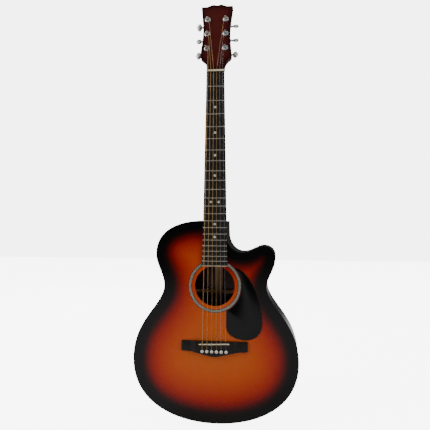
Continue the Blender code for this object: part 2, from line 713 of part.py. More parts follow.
def button_rings(turn):
    """The rings of an oval button, flat enough to grip, around its Y axis."""
    rings = []
    for share, size in ((0, 0.3), (0.12, 0.62), (0.4, 0.96), (0.75, 0.95), (1, 0.55)):
        y = BUTTON_START_X + share * BUTTON_LENGTH
        ring = []
        for u, v in circle(1, 12):
            a, b = u * BUTTON_HALF_THICKNESS * size**0.5, v * BUTTON_HALF_WIDTH * size
            ring.append((a * cos(turn) - b * sin(turn), y, a * sin(turn) + b * cos(turn)))
        rings.append(ring)
    return rings


def make_housing(string):
    """The cast cover that holds the worm and the wheel against the back of the headstock."""
    name = f"tuner_{string}_housing"
    place = tuner_frame(string)
    front = HEAD_THICKNESS + GAP
    back = 2 * GEAR_Y - front
    wall = 1.4 * MM
    reach = WHEEL_PITCH_RADIUS + TOOTH_HEIGHT + GAP + wall
    low = WORM_Z - WORM_PITCH_RADIUS - TOOTH_HEIGHT - GAP - wall
    cut = 2.5 * MM
    outline = [(-reach + cut, low), (reach - cut, low), (reach, low + cut), (reach, reach - cut),
               (reach - cut, reach), (-reach + cut, reach), (-reach, reach - cut), (-reach, low + cut)]
    housing = plate(name, outline, front, back, "chrome", place)
    shaft = place @ Matrix.Translation((0, GEAR_Y, WORM_Z)) @ Matrix.Rotation(-pi / 2, 4, "Z")
    collar = turned(f"{name}_collar", [(reach - MM, 3.4 * MM), (12.5 * MM, 3.0 * MM)], 10, None, shaft)
    boolean(housing, collar, "UNION")
    room = inset(outline, wall)
    boolean(housing, plate(f"{name}_room_cutter", room, front + wall, back - wall, None, place))
    post = POST_RADIUS + 0.5 * MM
    boolean(housing, turned(f"{name}_post_cutter", [(0, post), (front + 2 * MM, post)], 10, None, place))
    bore = SHAFT_RADIUS + 0.4 * MM
    boolean(housing, turned(f"{name}_shaft_cutter", [(2 * MM, bore), (20 * MM, bore)], 10, None, shaft))


def string_route(string):
    """A string's way from its pin over the saddle and the nut, and around its post."""
    radius = STRING_DIAMETERS[string - 1] / 2
    clear = GAP + radius
    saddle_x = string_x(string, SADDLE_STRING_SPACING)
    points = [
        Vector((string_x(string, PIN_SPACING), BRIDGE_FACE_Y - clear, PIN_Z + PIN_HEAD_RADIUS + clear)),
        Vector((saddle_x, SADDLE_TOP_Y - clear, SADDLE_Z - SADDLE_WIDTH)),
        Vector((saddle_x, SADDLE_TOP_Y - clear, SADDLE_Z + SADDLE_WIDTH)),
        Vector((string_x(string, NUT_STRING_SPACING), NUT_TOP_Y - clear, 0)),
        Vector((string_x(string, NUT_STRING_SPACING), NUT_TOP_Y - clear, NUT_LENGTH * 0.7)),
    ]
    side = 1 if string <= 3 else -1
    centre = HEAD_FRAME.inverted() @ tuner_frame(string).translation
    start = HEAD_FRAME.inverted() @ points[-1]
    around = POST_RADIUS + clear
    across, up = centre.x - start.x, centre.z - start.z
    heading = atan2(up, across) + side * asin(around / hypot(across, up))
    angle = heading + side * pi / 2
    steps = round(WRAPS * 8)
    for i in range(steps + 1):
        turned_by = -side * 2 * pi * WRAPS * i / steps
        x = centre.x + around * cos(angle + turned_by)
        z = centre.z + around * sin(angle + turned_by)
        y = -9.6 * MM + WRAPS * i / steps * (2 * radius + 0.1 * MM)
        points.append(HEAD_FRAME @ Vector((x, y, z)))
    return points


def make_string(string):
    """One string, as a round wire along its route."""
    curve = bpy.data.curves.new(f"string_{string}", "CURVE")
    curve.dimensions = "3D"
    curve.bevel_depth = STRING_DIAMETERS[string - 1] / 2
    curve.bevel_resolution = 1
    curve.use_fill_caps = True
    route = string_route(string)
    spline = curve.splines.new("POLY")
    spline.points.add(len(route) - 1)
    for point, place in zip(spline.points, route):
        point.co = (*place, 1)
    curve.materials.append(material("bronze" if string > 2 else "steel"))
    made = bpy.data.objects.new(f"string_{string}", curve)
    bpy.context.scene.collection.objects.link(made)


def main():
    for old in list(bpy.data.objects):
        bpy.data.objects.remove(old)
    outline = body_outline()
    make_plates(outline)
    make_sides(outline)
    make_blocks(outline)
    make_linings(outline)
    make_bracing()
    make_pickguard()
    make_bridge()
    make_end_pin()
    make_neck()
    make_fretboard()
    make_truss_rod()
    for string in range(1, 7):
        make_bushing(string)
        make_post(string)
        make_knob(string)
        make_housing(string)
        make_string(string)


main()
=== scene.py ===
"""The looks of a sunburst acoustic guitar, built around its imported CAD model.

Metres, in the CAD's frame: +Z up the neck, -Y the front, +X the treble side, origin at the nut.
"""

import json
from math import asin, atan2, ceil, cos, hypot, pi, radians, sin

import bmesh
import bpy
import numpy as np
from mathutils import Matrix, Vector
from mathutils.geometry import delaunay_2d_cdt

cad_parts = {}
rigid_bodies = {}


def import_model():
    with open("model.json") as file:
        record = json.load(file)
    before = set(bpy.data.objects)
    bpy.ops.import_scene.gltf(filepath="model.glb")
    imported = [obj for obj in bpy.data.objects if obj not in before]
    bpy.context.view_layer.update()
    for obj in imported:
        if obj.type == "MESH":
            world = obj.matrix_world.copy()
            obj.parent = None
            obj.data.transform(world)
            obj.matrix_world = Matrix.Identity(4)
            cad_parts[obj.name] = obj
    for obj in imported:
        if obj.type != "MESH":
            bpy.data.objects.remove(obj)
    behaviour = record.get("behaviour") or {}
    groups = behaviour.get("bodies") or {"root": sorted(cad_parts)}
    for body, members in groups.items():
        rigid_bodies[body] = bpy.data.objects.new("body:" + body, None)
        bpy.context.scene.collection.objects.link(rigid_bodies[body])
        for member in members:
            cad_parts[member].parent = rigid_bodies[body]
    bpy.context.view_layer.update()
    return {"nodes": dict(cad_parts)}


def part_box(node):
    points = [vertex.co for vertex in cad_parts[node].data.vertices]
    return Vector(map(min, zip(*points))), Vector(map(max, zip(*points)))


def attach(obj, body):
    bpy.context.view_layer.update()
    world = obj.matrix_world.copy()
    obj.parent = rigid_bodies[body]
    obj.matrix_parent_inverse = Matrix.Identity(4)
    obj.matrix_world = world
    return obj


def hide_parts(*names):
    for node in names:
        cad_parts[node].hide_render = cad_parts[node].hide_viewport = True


for old in list(bpy.data.objects):
    bpy.data.objects.remove(old)
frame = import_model()

MM = 0.001
SCALE_LENGTH = 650 * MM

# Sizes read from the frame
BOARD_LOW, BOARD_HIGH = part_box("fretboard")
BOARD_END_Z = BOARD_LOW.z
BOARD_END_WIDTH = BOARD_HIGH.x - BOARD_LOW.x
BOARD_THICKNESS = BOARD_HIGH.y
NUT_LOW, NUT_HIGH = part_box("nut")
NUT_WIDTH = NUT_HIGH.x - NUT_LOW.x
TOP_LOW, TOP_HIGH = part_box("top_binding")
BACK_LOW, BACK_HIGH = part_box("back")
BODY_FRONT_Y, BODY_BACK_Y = TOP_LOW.y, BACK_HIGH.y
PLATE_THICKNESS = TOP_HIGH.y - TOP_LOW.y
BODY_TAIL_Z = BACK_LOW.z
BRIDGE_LOW, BRIDGE_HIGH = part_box("bridge")
SADDLE_LOW, SADDLE_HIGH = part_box("saddle")
PIN_LOW, PIN_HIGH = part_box("bridge_pin_3")
PIN_Z = (PIN_LOW.z + PIN_HIGH.z) / 2
END_LOW, END_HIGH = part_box("end_pin")
ROSETTE_LOW, ROSETTE_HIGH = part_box("rosette")
HOLE_Z = (ROSETTE_LOW.z + ROSETTE_HIGH.z) / 2
ROSETTE_RADIUS = (ROSETTE_HIGH.x - ROSETTE_LOW.x) / 2
CAP_LOW, CAP_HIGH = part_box("heel_cap")

# Sizes that repeat the CAD's
GAP = 0.3 * MM  # the clearance between neighbouring CAD pieces
HOLE_RADIUS = 48 * MM
GUARD_TOP = (45.6, -471.4)  # where the pickguard's outer edge meets the rosette, millimetres
GUARD_FOOT = (28.1, -575)  # where it leaves the rosette
FRETS = 21
WING_START_X = 44 * MM
WING_FALL_LENGTH = 14 * MM
WING_DROP = 4 * MM
SADDLE_LENGTH = 73 * MM
HEAD_TILT = radians(10)
HEAD_THICKNESS = 15 * MM
HEAD_FRAME = Matrix.Translation((0, 3.5 * MM, 5 * MM)) @ Matrix.Rotation(-HEAD_TILT, 4, "X")
POST_X = 22.3 * MM
POST_HEIGHTS = (55.7 * MM, 94.2 * MM, 132.7 * MM)
GEAR_Y = 19.9 * MM
WORM_LEAD = 2.4 * MM
WORM_PITCH_RADIUS = 2.4 * MM
WHEEL_TEETH = 14
WHEEL_PITCH_RADIUS = WHEEL_TEETH * WORM_LEAD / (2 * pi)
WHEEL_HALF_THICKNESS = 1.4 * MM
WORM_Z = -(WHEEL_PITCH_RADIUS + WORM_PITCH_RADIUS)
BUTTON_START_X = 17.5 * MM
BUTTON_LENGTH = 13 * MM
BUTTON_HALF_WIDTH = 10 * MM
BUTTON_HALF_THICKNESS = 4 * MM
BUTTON_TURNS = (17, 54, 63, 0, 32, 5)  # degrees, at rest
HOUSING_REACH = 7.45 * MM  # from the post's axis to the gear cover's edge
POST_WAIST = 2.85 * MM  # the post's radius where the string winds
STRING_DIAMETERS = (0.30 * MM, 0.41 * MM, 0.61 * MM, 0.81 * MM, 1.07 * MM, 1.35 * MM)
NUT_STRING_SPACING = 7.1 * MM
SADDLE_STRING_SPACING = 11.1 * MM
PIN_SPACING = 11.5 * MM
SADDLE_SLANT = radians(2.1)
NO = (0, 0)  # no handle

# Sizes of the looks alone
VENEER = 0.8 * MM  # of the headstock's face
PROUD = 0.05 * MM  # how far a binding or a dot stands out of its wood
TOOTH_TIP = 0.38 * MM
BURST_REACH = 0.2  # metres from the edge at the end of a burst's stops

# The camera
CAMERA_TARGET = (0.0007, 0, -0.3466)
CAMERA_DISTANCE = 1.1976
CAMERA_YAW = radians(7.24)
CAMERA_RISE = radians(1.25)
CAMERA_ROLL = radians(0.23)
CAMERA_LENS = 41.9  # millimetres, on a 36 mm sensor
BACKDROP = 7.0  # how bright the surround and the floor look to the camera


# ---------------------------------------------------------------- materials


def material(name, color, roughness, metallic=0.0, coat=0.0, specular=0.5):
    """A Principled material and its node tree."""
    made = bpy.data.materials.new(name)
    made.use_nodes = True
    shader = made.node_tree.nodes["Principled BSDF"]
    shader.inputs["Base Color"].default_value = (*color, 1)
    shader.inputs["Roughness"].default_value = roughness
    shader.inputs["Metallic"].default_value = metallic
    shader.inputs["Coat Weight"].default_value = coat
    shader.inputs["Coat Roughness"].default_value = 0.05
    shader.inputs["Specular IOR Level"].default_value = specular
    return made


def add(tree, kind, **values):
    """A node with its inputs set by name."""
    node = tree.nodes.new(kind)
    for key, value in values.items():
        node.inputs[key.replace("_", " ")].default_value = value
    return node


def stretched(tree, scale):
    """Object coordinates, in metres, multiplied along each axis."""
    place = tree.nodes.new("ShaderNodeTexCoord")
    mapping = add(tree, "ShaderNodeMapping", Scale=scale)
    tree.links.new(place.outputs["Object"], mapping.inputs["Vector"])
    return mapping.outputs["Vector"]


def noise(tree, scale, detail=4.0, roughness=0.55):
    """Noise over stretched coordinates."""
    node = add(tree, "ShaderNodeTexNoise", Scale=1.0, Detail=detail, Roughness=roughness)
    tree.links.new(stretched(tree, scale), node.inputs["Vector"])
    return node.outputs["Fac"]


def ramp(tree, factor, stops):
    """A colour ramp from (place, colour) stops."""
    node = tree.nodes.new("ShaderNodeValToRGB")
    points = node.color_ramp.elements
    while len(points) < len(stops):
        points.new(0.5)
    for point, (place, color) in zip(points, stops):
        point.position = place
        point.color = (*color, 1)
    tree.links.new(factor, node.inputs["Fac"])
    return node.outputs["Color"]


def spread(tree, factor, low, high):
    """A value spread from one range to another."""
    node = tree.nodes.new("ShaderNodeMapRange")
    node.inputs["To Min"].default_value = low
    node.inputs["To Max"].default_value = high
    tree.links.new(factor, node.inputs["Value"])
    return node.outputs["Result"]


def total(tree, first, second):
    """The sum of two values."""
    node = tree.nodes.new("ShaderNodeMath")
    node.operation = "ADD"
    tree.links.new(first, node.inputs[0])
    tree.links.new(second, node.inputs[1])
    return node.outputs[0]


def tint(tree, color, factor, low, high):
    """A colour lightened and darkened by a factor."""
    node = tree.nodes.new("ShaderNodeVectorMath")
    node.operation = "SCALE"
    tree.links.new(color, node.inputs[0])
    tree.links.new(spread(tree, factor, low, high), node.inputs["Scale"])
    return node.outputs["Vector"]


def bump(made, height, distance, strength=1.0):
    """Relief on a material's shader."""
    tree = made.node_tree
    node = add(tree, "ShaderNodeBump", Strength=strength, Distance=distance)
    tree.links.new(height, node.inputs["Height"])
    tree.links.new(node.outputs["Normal"], tree.nodes["Principled BSDF"].inputs["Normal"])


def use(made, color, roughness):
    """Links a colour and a roughness to a material's shader."""
    inputs = made.node_tree.nodes["Principled BSDF"].inputs
    made.node_tree.links.new(color, inputs["Base Color"])
    made.node_tree.links.new(roughness, inputs["Roughness"])


def burst(name, stops, grain, coat=0.3):
    """Clear lacquer over wood, shaded by each point's distance from the edge, in metres."""
    made = material(name, (0.3, 0.05, 0.01), 0.2, coat=coat, specular=0.12)
    tree = made.node_tree
    edge = tree.nodes.new("ShaderNodeAttribute")
    edge.attribute_name = "edge"
    reach = tree.nodes.new("ShaderNodeMath")
    reach.operation = "MULTIPLY"
    reach.inputs[1].default_value = 1 / BURST_REACH
    wander = spread(tree, noise(tree, (9, 9, 9), 2), -0.003, 0.003)
    tree.links.new(total(tree, edge.outputs["Fac"], wander), reach.inputs[0])
    color = ramp(tree, reach.outputs[0], [(place, srgb(*color)) for place, color in stops])
    lines = noise(tree, (620, 30, 5), 5, 0.6)
    color = tint(tree, color, lines, 1 - grain, 1 + grain)
    silk = noise(tree, (40, 40, 160), 3)
    color = tint(tree, color, silk, 1 - grain / 2, 1 + grain / 2)
    use(made, color, spread(tree, noise(tree, (25, 25, 25)), 0.16, 0.24))
    bump(made, noise(tree, (14, 14, 14), 2), 0.0004, 0.10)
    return made


def grained(name, dark, light, scale, roughness, coat=0.0, relief=0.0002, specular=0.5):
    """Wood with streaks along one axis and small pores."""
    made = material(name, light, roughness[0], coat=coat, specular=specular)
    tree = made.node_tree
    streaks = noise(tree, scale, 6, 0.65)
    color = ramp(tree, streaks, ((0.3, dark), (0.7, light)))
    pores = noise(tree, tuple(3.2 * s for s in scale), 2)
    color = tint(tree, color, pores, 0.8, 1.18)
    use(made, color, spread(tree, noise(tree, (60, 60, 60)), *roughness))
    bump(made, pores, relief, 0.35)
    return made


def lacquer(name, color):
    """Smooth gloss lacquer with a faint orange-peel surface."""
    made = material(name, color, 0.15, coat=0.4, specular=0.2)
    tree = made.node_tree
    deep = tuple(c * 0.8 for c in color)
    shade = ramp(tree, noise(tree, (7, 7, 7), 3), ((0.3, deep), (0.7, color)))
    use(made, shade, spread(tree, noise(tree, (30, 30, 30)), 0.10, 0.18))
    bump(made, noise(tree, (160, 160, 160), 2), 0.0002, 0.05)
    return made


def plastic(name, color, roughness, relief=0.0001, specular=0.5):
    """Moulded or cut plastic with fine handling marks."""
    made = material(name, color, roughness, specular=specular)
    tree = made.node_tree
    dull = tuple(c * 0.86 for c in color)
    shade = ramp(tree, noise(tree, (90, 90, 90)), ((0.3, dull), (0.7, color)))
    use(made, shade, spread(tree, noise(tree, (220, 220, 60), 5), roughness * 0.8, roughness * 1.3))
    bump(made, noise(tree, (500, 500, 120), 3), relief, 0.15)
    return made


def pearl(name, dark, light):
    """Grey pearl in small irregular flakes."""
    made = material(name, light, 0.25, coat=0.4)
    tree = made.node_tree
    flakes = add(tree, "ShaderNodeTexVoronoi", Scale=1.0)
    tree.links.new(stretched(tree, (360, 360, 360)), flakes.inputs["Vector"])
    mixed = total(tree, spread(tree, flakes.outputs["Distance"], 0, 0.5),
                  spread(tree, noise(tree, (320, 320, 320)), 0, 0.5))
    middle = tuple((a + b) / 2 for a, b in zip(dark, light))
    color = ramp(tree, mixed, ((0.25, dark), (0.5, middle), (0.75, light)))
    use(made, color, spread(tree, flakes.outputs["Distance"], 0.18, 0.34))
    return made


def metal(name, color, roughness, scale=(120, 120, 120)):
    """Plated or drawn metal with slight smears."""
    made = material(name, color, roughness, metallic=1.0)
    tree = made.node_tree
    smears = noise(tree, scale, 5)
    shade = ramp(tree, smears, ((0.25, tuple(c * 0.85 for c in color)), (0.75, color)))
    use(made, shade, spread(tree, smears, roughness * 0.6, roughness * 1.6))
    bump(made, noise(tree, tuple(4 * s for s in scale), 2), 0.00005, 0.1)
    return made


def wound(name, color, pitch):
    """Wire wound with finer wire: close rings along its length."""
    made = metal(name, color, 0.32)
    tree = made.node_tree
    rings = add(tree, "ShaderNodeTexWave", Scale=1.0, Distortion=0.0)
    rings.bands_direction = "Z"
    turns = 2 * pi / pitch / 20
    tree.links.new(stretched(tree, (1, 1, turns)), rings.inputs["Vector"])
    bump(made, rings.outputs["Fac"], pitch / 3, 0.8)
    return made


def srgb(red, green, blue):
    """Linear values of an 8-bit colour."""
    values = [v / 255 for v in (red, green, blue)]
    return tuple(v / 12.92 if v <= 0.04045 else ((v + 0.055) / 1.055) ** 2.4 for v in values)


# Each place, from the edge inwards, and its 8-bit colour
SUNBURST = (
    (0.0, (5, 4, 4)), (0.085, (7, 5, 5)), (0.125, (38, 5, 3)), (0.17, (92, 8, 4)),
    (0.22, (136, 18, 3)), (0.285, (160, 36, 1)), (0.37, (174, 54, 0)), (0.52, (186, 73, 0)),
    (0.80, (194, 88, 0)),
)
BACK_BURST = (
    (0.0, (9, 7, 6)), (0.06, (12, 8, 7)), (0.16, (40, 12, 9)), (0.35, (74, 24, 16)),
    (0.7, (92, 34, 20)),
)
HEAD_BURST = (
    (0.0, (38, 11, 11)), (0.02, (50, 15, 14)), (0.06, (72, 24, 22)), (0.12, (78, 28, 25)),
)

MATERIALS = {
    "sunburst": burst("sunburst_lacquer", SUNBURST, 0.07),
    "back_burst": burst("back_lacquer", BACK_BURST, 0.16),
    "head_burst": burst("headstock_lacquer", HEAD_BURST, 0.12),
    "black": lacquer("black_lacquer", srgb(13, 10, 9)),
    "mahogany": grained("mahogany_lacquer", srgb(46, 15, 11), srgb(78, 27, 18), (260, 260, 9),
                        (0.14, 0.24), coat=0.3, relief=0.00005, specular=0.15),
    "black_wood": grained("black_wood", srgb(14, 12, 10), srgb(34, 28, 24), (420, 420, 14),
                          (0.38, 0.55), specular=0.25),
    "bridge_wood": grained("bridge_wood", srgb(13, 10, 9), srgb(30, 22, 19), (16, 420, 420),
                           (0.32, 0.5), specular=0.25),
    "spruce": grained("bare_spruce", srgb(160, 112, 66), srgb(206, 160, 106), (420, 60, 8),
                      (0.55, 0.7)),
    "block_wood": grained("bare_mahogany", srgb(120, 74, 44), srgb(160, 106, 66), (240, 240, 10),
                          (0.55, 0.7)),
    "guard": plastic("pickguard_plastic", srgb(9, 9, 9), 0.14, 0.00004, 0.25),
    "black_plastic": plastic("black_plastic", srgb(9, 9, 9), 0.2, 0.0001, 0.25),
    "white_plastic": plastic("white_plastic", srgb(235, 232, 220), 0.25),
    "bone": plastic("bone", srgb(226, 214, 182), 0.35),
    "pearl": pearl("rosette_pearl", srgb(78, 74, 66), srgb(148, 144, 130)),
    "dot": pearl("dot_pearl", srgb(150, 148, 138), srgb(222, 220, 206)),
    "chrome": metal("chrome", srgb(222, 224, 226), 0.16),
    "satin": metal("satin_chrome", srgb(226, 228, 226), 0.36),
    "nickel": metal("fret_nickel", srgb(190, 186, 174), 0.22, (40, 400, 400)),
    "steel": metal("plain_steel", srgb(186, 186, 186), 0.25),
    "bronze_thick": wound("bronze_thick", srgb(186, 152, 104), 0.5 * MM),
    "bronze_thin": wound("bronze_thin", srgb(192, 160, 112), 0.3 * MM),
}

# ---------------------------------------------------------------- shapes


def shift(x, y, z):
    """A move, as a matrix."""
    return Matrix.Translation((x, y, z))


def finished(made, look, slot, *nodes, body="root", smooth=True):
    """Gives a piece its material and its body, and hides the CAD nodes that it stands for."""
    made.data.materials.clear()
    made.data.materials.append(MATERIALS[look])
    if smooth and made.type == "MESH":
        made.data.shade_smooth()
        made.data.set_sharp_from_angle(angle=radians(32))
    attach(made, body)
    if nodes:
        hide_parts(*nodes)


def placed(name, data):
    """A new object in the scene."""
    made = bpy.data.objects.new(name, data)
    bpy.context.scene.collection.objects.link(made)
    return made


def solid(name, points, faces, place=None):
    """A mesh object with its place in its vertices."""
    mesh = bpy.data.meshes.new(name)
    work = bmesh.new()
    place = place or Matrix.Identity(4)
    corners = [work.verts.new(place @ Vector(point)) for point in points]
    for face in faces:
        work.faces.new([corners[i] for i in face])
    bmesh.ops.recalc_face_normals(work, faces=work.faces)
    work.to_mesh(mesh)
    work.free()
    return placed(name, mesh)


def loft(name, rings, place=None, closed=False):
    """A skin over rings of equal length, capped at both ends or joined into a loop."""
    size = len(rings[0])
    points = [point for ring in rings for point in ring]
    faces = []
    for i in range(len(rings) - (not closed)):
        here, there = i * size, (i + 1) % len(rings) * size
        for j in range(size):
            k = (j + 1) % size
            faces.append((here + j, here + k, there + k, there + j))
    if not closed:
        faces.append(tuple(range(size)))
        faces.append(tuple(range((len(rings) - 1) * size, len(rings) * size)))
    return solid(name, points, faces, place)


def plate(name, outline, front, back, place=None):
    """A flat plate from a closed outline of (x, z)."""
    return loft(name, [[(x, y, z) for x, z in outline] for y in (front, back)], place)


def circle(radius, sides):
    """Points (u, v) around a circle."""
    angles = [2 * pi * i / sides for i in range(sides)]
    return [(radius * cos(a), radius * sin(a)) for a in angles]


def turned(name, profile, sides, place=None, closed=False):
    """A turned solid along Y, from (y, radius) pairs in millimetres. A closed one is hollow."""
    rings = [[(u, y * MM, v) for u, v in circle(radius * MM, sides)] for y, radius in profile]
    return loft(name, rings, place, closed)


def bevelled(made, width, segments=3, angle=40):
    """Rounds a piece's sharp edges, as part of its mesh."""
    step = made.modifiers.new("edges", "BEVEL")
    step.width = width
    step.segments = segments
    step.limit_method = "ANGLE"
    step.angle_limit = radians(angle)
    return applied(made)


def applied(made):
    """Makes the modifiers' result the piece's own mesh."""
    graph = bpy.context.evaluated_depsgraph_get()
    mesh = bpy.data.meshes.new_from_object(made.evaluated_get(graph))
    made.modifiers.clear()
    made.data = mesh
    return made


def cut(made, *cutters):
    """Cuts pieces out of another, and removes the cutters."""
    for cutter in cutters:
        step = made.modifiers.new("cut", "BOOLEAN")
        step.operation = "DIFFERENCE"
        step.solver = "EXACT"
        step.object = cutter
    applied(made)
    for cutter in cutters:
        bpy.data.objects.remove(cutter)


def bezier(start, start_handle, end_handle, end, steps):
    """Points along a cubic curve, without its last one."""
    points = []
    for i in range(steps):
        t = i / steps
        weights = ((1 - t) ** 3, 3 * (1 - t) ** 2 * t, 3 * (1 - t) * t**2, t**3)
        curve = (start, start_handle, end_handle, end)
        points.append(tuple(sum(w * p[axis] for w, p in zip(weights, curve)) for axis in (0, 1)))
    return points


def curved_outline(anchors, step):
    """A closed outline through anchors of (x, z, handle in, handle out), all in millimetres."""
    points = []
    for here, there in zip(anchors, anchors[1:] + anchors[:1]):
        start = (here[0] * MM, here[1] * MM)
        end = (there[0] * MM, there[1] * MM)
        length = hypot(end[0] - start[0], end[1] - start[1])
        leave, arrive = here[3], there[2]
        a = (start[0] + leave[0] * MM, start[1] + leave[1] * MM)
        b = (end[0] + arrive[0] * MM, end[1] + arrive[1] * MM)
        if leave == NO and arrive == NO:
            a, b = start, end
        points += bezier(start, a, b, end, max(2, ceil(length / step)))
    return points


def inset(path, distance):
    """A closed counter-clockwise path moved inwards, with its corners kept sharp."""
    moved = []
    for i, (x, z) in enumerate(path):
        before, after = path[i - 1], path[(i + 1) % len(path)]
        first = Vector((x - before[0], z - before[1])).normalized()
        second = Vector((after[0] - x, after[1] - z)).normalized()
        normal = Vector((-first.y - second.y, first.x + second.x)).normalized()
        share = normal.dot(Vector((-first.y, first.x)))
        moved.append((x + normal.x * distance / share, z + normal.y * distance / share))
    return moved


def rim(name, path, profile, stations=None, seams=()):
    """A strip along a path, from a closed profile of (inset, y). Stations make it an open strip."""
    layers = [[(x, y, z) for x, z in inset(path, depth)] for depth, y in profile]
    chosen = stations or range(len(path))
    rings = [[layer[i] for layer in layers] for i in chosen]
    for index, x in seams:
        rings[index] = [(x, y, z) for _, y, z in rings[index]]
    return loft(name, rings, closed=stations is None)


def spline(points, steps):
    """A smooth curve through points of any size (Catmull-Rom)."""
    rows = [points[0], *points, points[-1]]
    result = []
    for a, b, c, d in zip(rows, rows[1:], rows[2:], rows[3:]):
        for i in range(steps):
            t = i / steps
            result.append(tuple(
                0.5 * (2 * q + (r - p) * t + (2 * p - 5 * q + 4 * r - s) * t * t
                       + (3 * q - p - 3 * r + s) * t**3)
                for p, q, r, s in zip(a, b, c, d)
            ))
    return result + [tuple(points[-1])]


def edge_distances(points, outline):
    """How far each point (x, z) is from a closed outline."""
    along = np.roll(outline, -1, 0) - outline
    offset = points[:, None] - outline[None]
    share = np.clip((offset * along).sum(2) / (along**2).sum(1), 0, 1)
    return np.sqrt(((offset - share[..., None] * along) ** 2).sum(2)).min(1)


def inside(points, outline):
    """Which points (x, z) lie in a closed outline: a line from them crosses it an odd number of times."""
    x, z = points[:, 0, None], points[:, 1, None]
    x0, z0 = outline.T
    x1, z1 = np.roll(outline, -1, 0).T
    crosses = ((z0 > z) != (z1 > z)) & (x < (x1 - x0) * (z - z0) / (z1 - z0 + 1e-12) + x0)
    return crosses.sum(1) % 2 == 1


def shaded_plate(name, outline, front, back, spacing, hole=None, place=None):
    """A plate meshed finely enough to carry each point's distance from its outline.

    A hole is its (z, radius), on the middle line.
    """
    edge = np.array(outline)
    low, high = edge.min(0), edge.max(0)
    columns = np.arange(low[0] + spacing / 2, high[0], spacing)
    rows = np.arange(low[1] + spacing / 2, high[1], spacing)
    grid = np.array([(x, z) for z in rows for x in columns])
    clear = spacing * 0.45
    keep = inside(grid, edge) & (edge_distances(grid, edge) > clear)
    loops = [list(map(tuple, edge))]
    if hole:
        away = np.hypot(grid[:, 0], grid[:, 1] - hole[0])
        keep &= away > hole[1] + clear
        loops.append([(u, v + hole[0]) for u, v in circle(hole[1], 96)])
    points, edges = [], []
    for loop in loops:
        first = len(points)
        points += [Vector(p) for p in loop]
        edges += [(first + i, first + (i + 1) % len(loop)) for i in range(len(loop))]
    points += [Vector(p) for p in grid[keep]]
    corners, _, faces, *_ = delaunay_2d_cdt(points, edges, [], 1, 1e-7)
    if hole:
        def out_of_hole(face):
            middle = sum((corners[i] for i in face), Vector((0, 0))) / len(face)
            return hypot(middle.x, middle.y - hole[0]) > hole[1]
        faces = [face for face in faces if out_of_hole(face)]
    mesh = bpy.data.meshes.new(name)
    work = bmesh.new()
    verts = [work.verts.new((c.x, front, c.y)) for c in corners]
    made_faces = [work.faces.new([verts[i] for i in face]) for face in faces]
    bulk = bmesh.ops.extrude_face_region(work, geom=made_faces)
    moved = [item for item in bulk["geom"] if isinstance(item, bmesh.types.BMVert)]
    bmesh.ops.translate(work, verts=moved, vec=(0, back - front, 0))
    bmesh.ops.delete(work, geom=[v for v in work.verts if not v.link_faces], context="VERTS")
    bmesh.ops.recalc_face_normals(work, faces=work.faces)
    work.to_mesh(mesh)
    work.free()
    flat = np.empty(len(mesh.vertices) * 3, np.float32)
    mesh.vertices.foreach_get("co", flat)
    flat = flat.reshape(-1, 3)
    parts = np.array_split(flat, 20)
    depth = np.concatenate([edge_distances(part[:, [0, 2]], edge) for part in parts])
    mesh.attributes.new("edge", "FLOAT", "POINT").data.foreach_set("value", depth.astype(np.float32))
    if place:
        mesh.transform(place)
    return placed(name, mesh)


# ---------------------------------------------------------------- body

BODY_ANCHORS = [
    (10.5, -360, NO, NO), (-10.5, -360, NO, NO), (-28, -360, NO, (-57, 0)),
    (-144.3, -441, (0, 61), (0, -27)), (-124, -516, (0, 26), (0, -49)),
    (-199.7, -695, (0, 96), (0, -102)), (0, -844.5, (-105, 0), (105, 0)),
    (199.7, -695, (0, -102), (0, 96)), (124, -516, (0, -49), (0, 19)),
    (144.6, -448, (0, -26), (0, 16.5)), (116, -419.8, (17, 0), (-17, 0)),
    (65, -435.6, (20, 0), (-25, 0)), (27, -392, (0, -18), NO), (26, -360, NO, NO),
]
BINDING = 2.0 * MM
EDGE_RADIUS = 1.4 * MM
SIDE_THICKNESS = 2.4 * MM


def rounded_edge(radius, front, sign):
    """(inset, y) points around the outer corner of a binding. The sign points into the body."""
    points = []
    for i in range(6):
        angle = pi / 2 * i / 5
        points.append((radius * (1 - sin(angle)), front + sign * radius * (1 - cos(angle))))
    return points


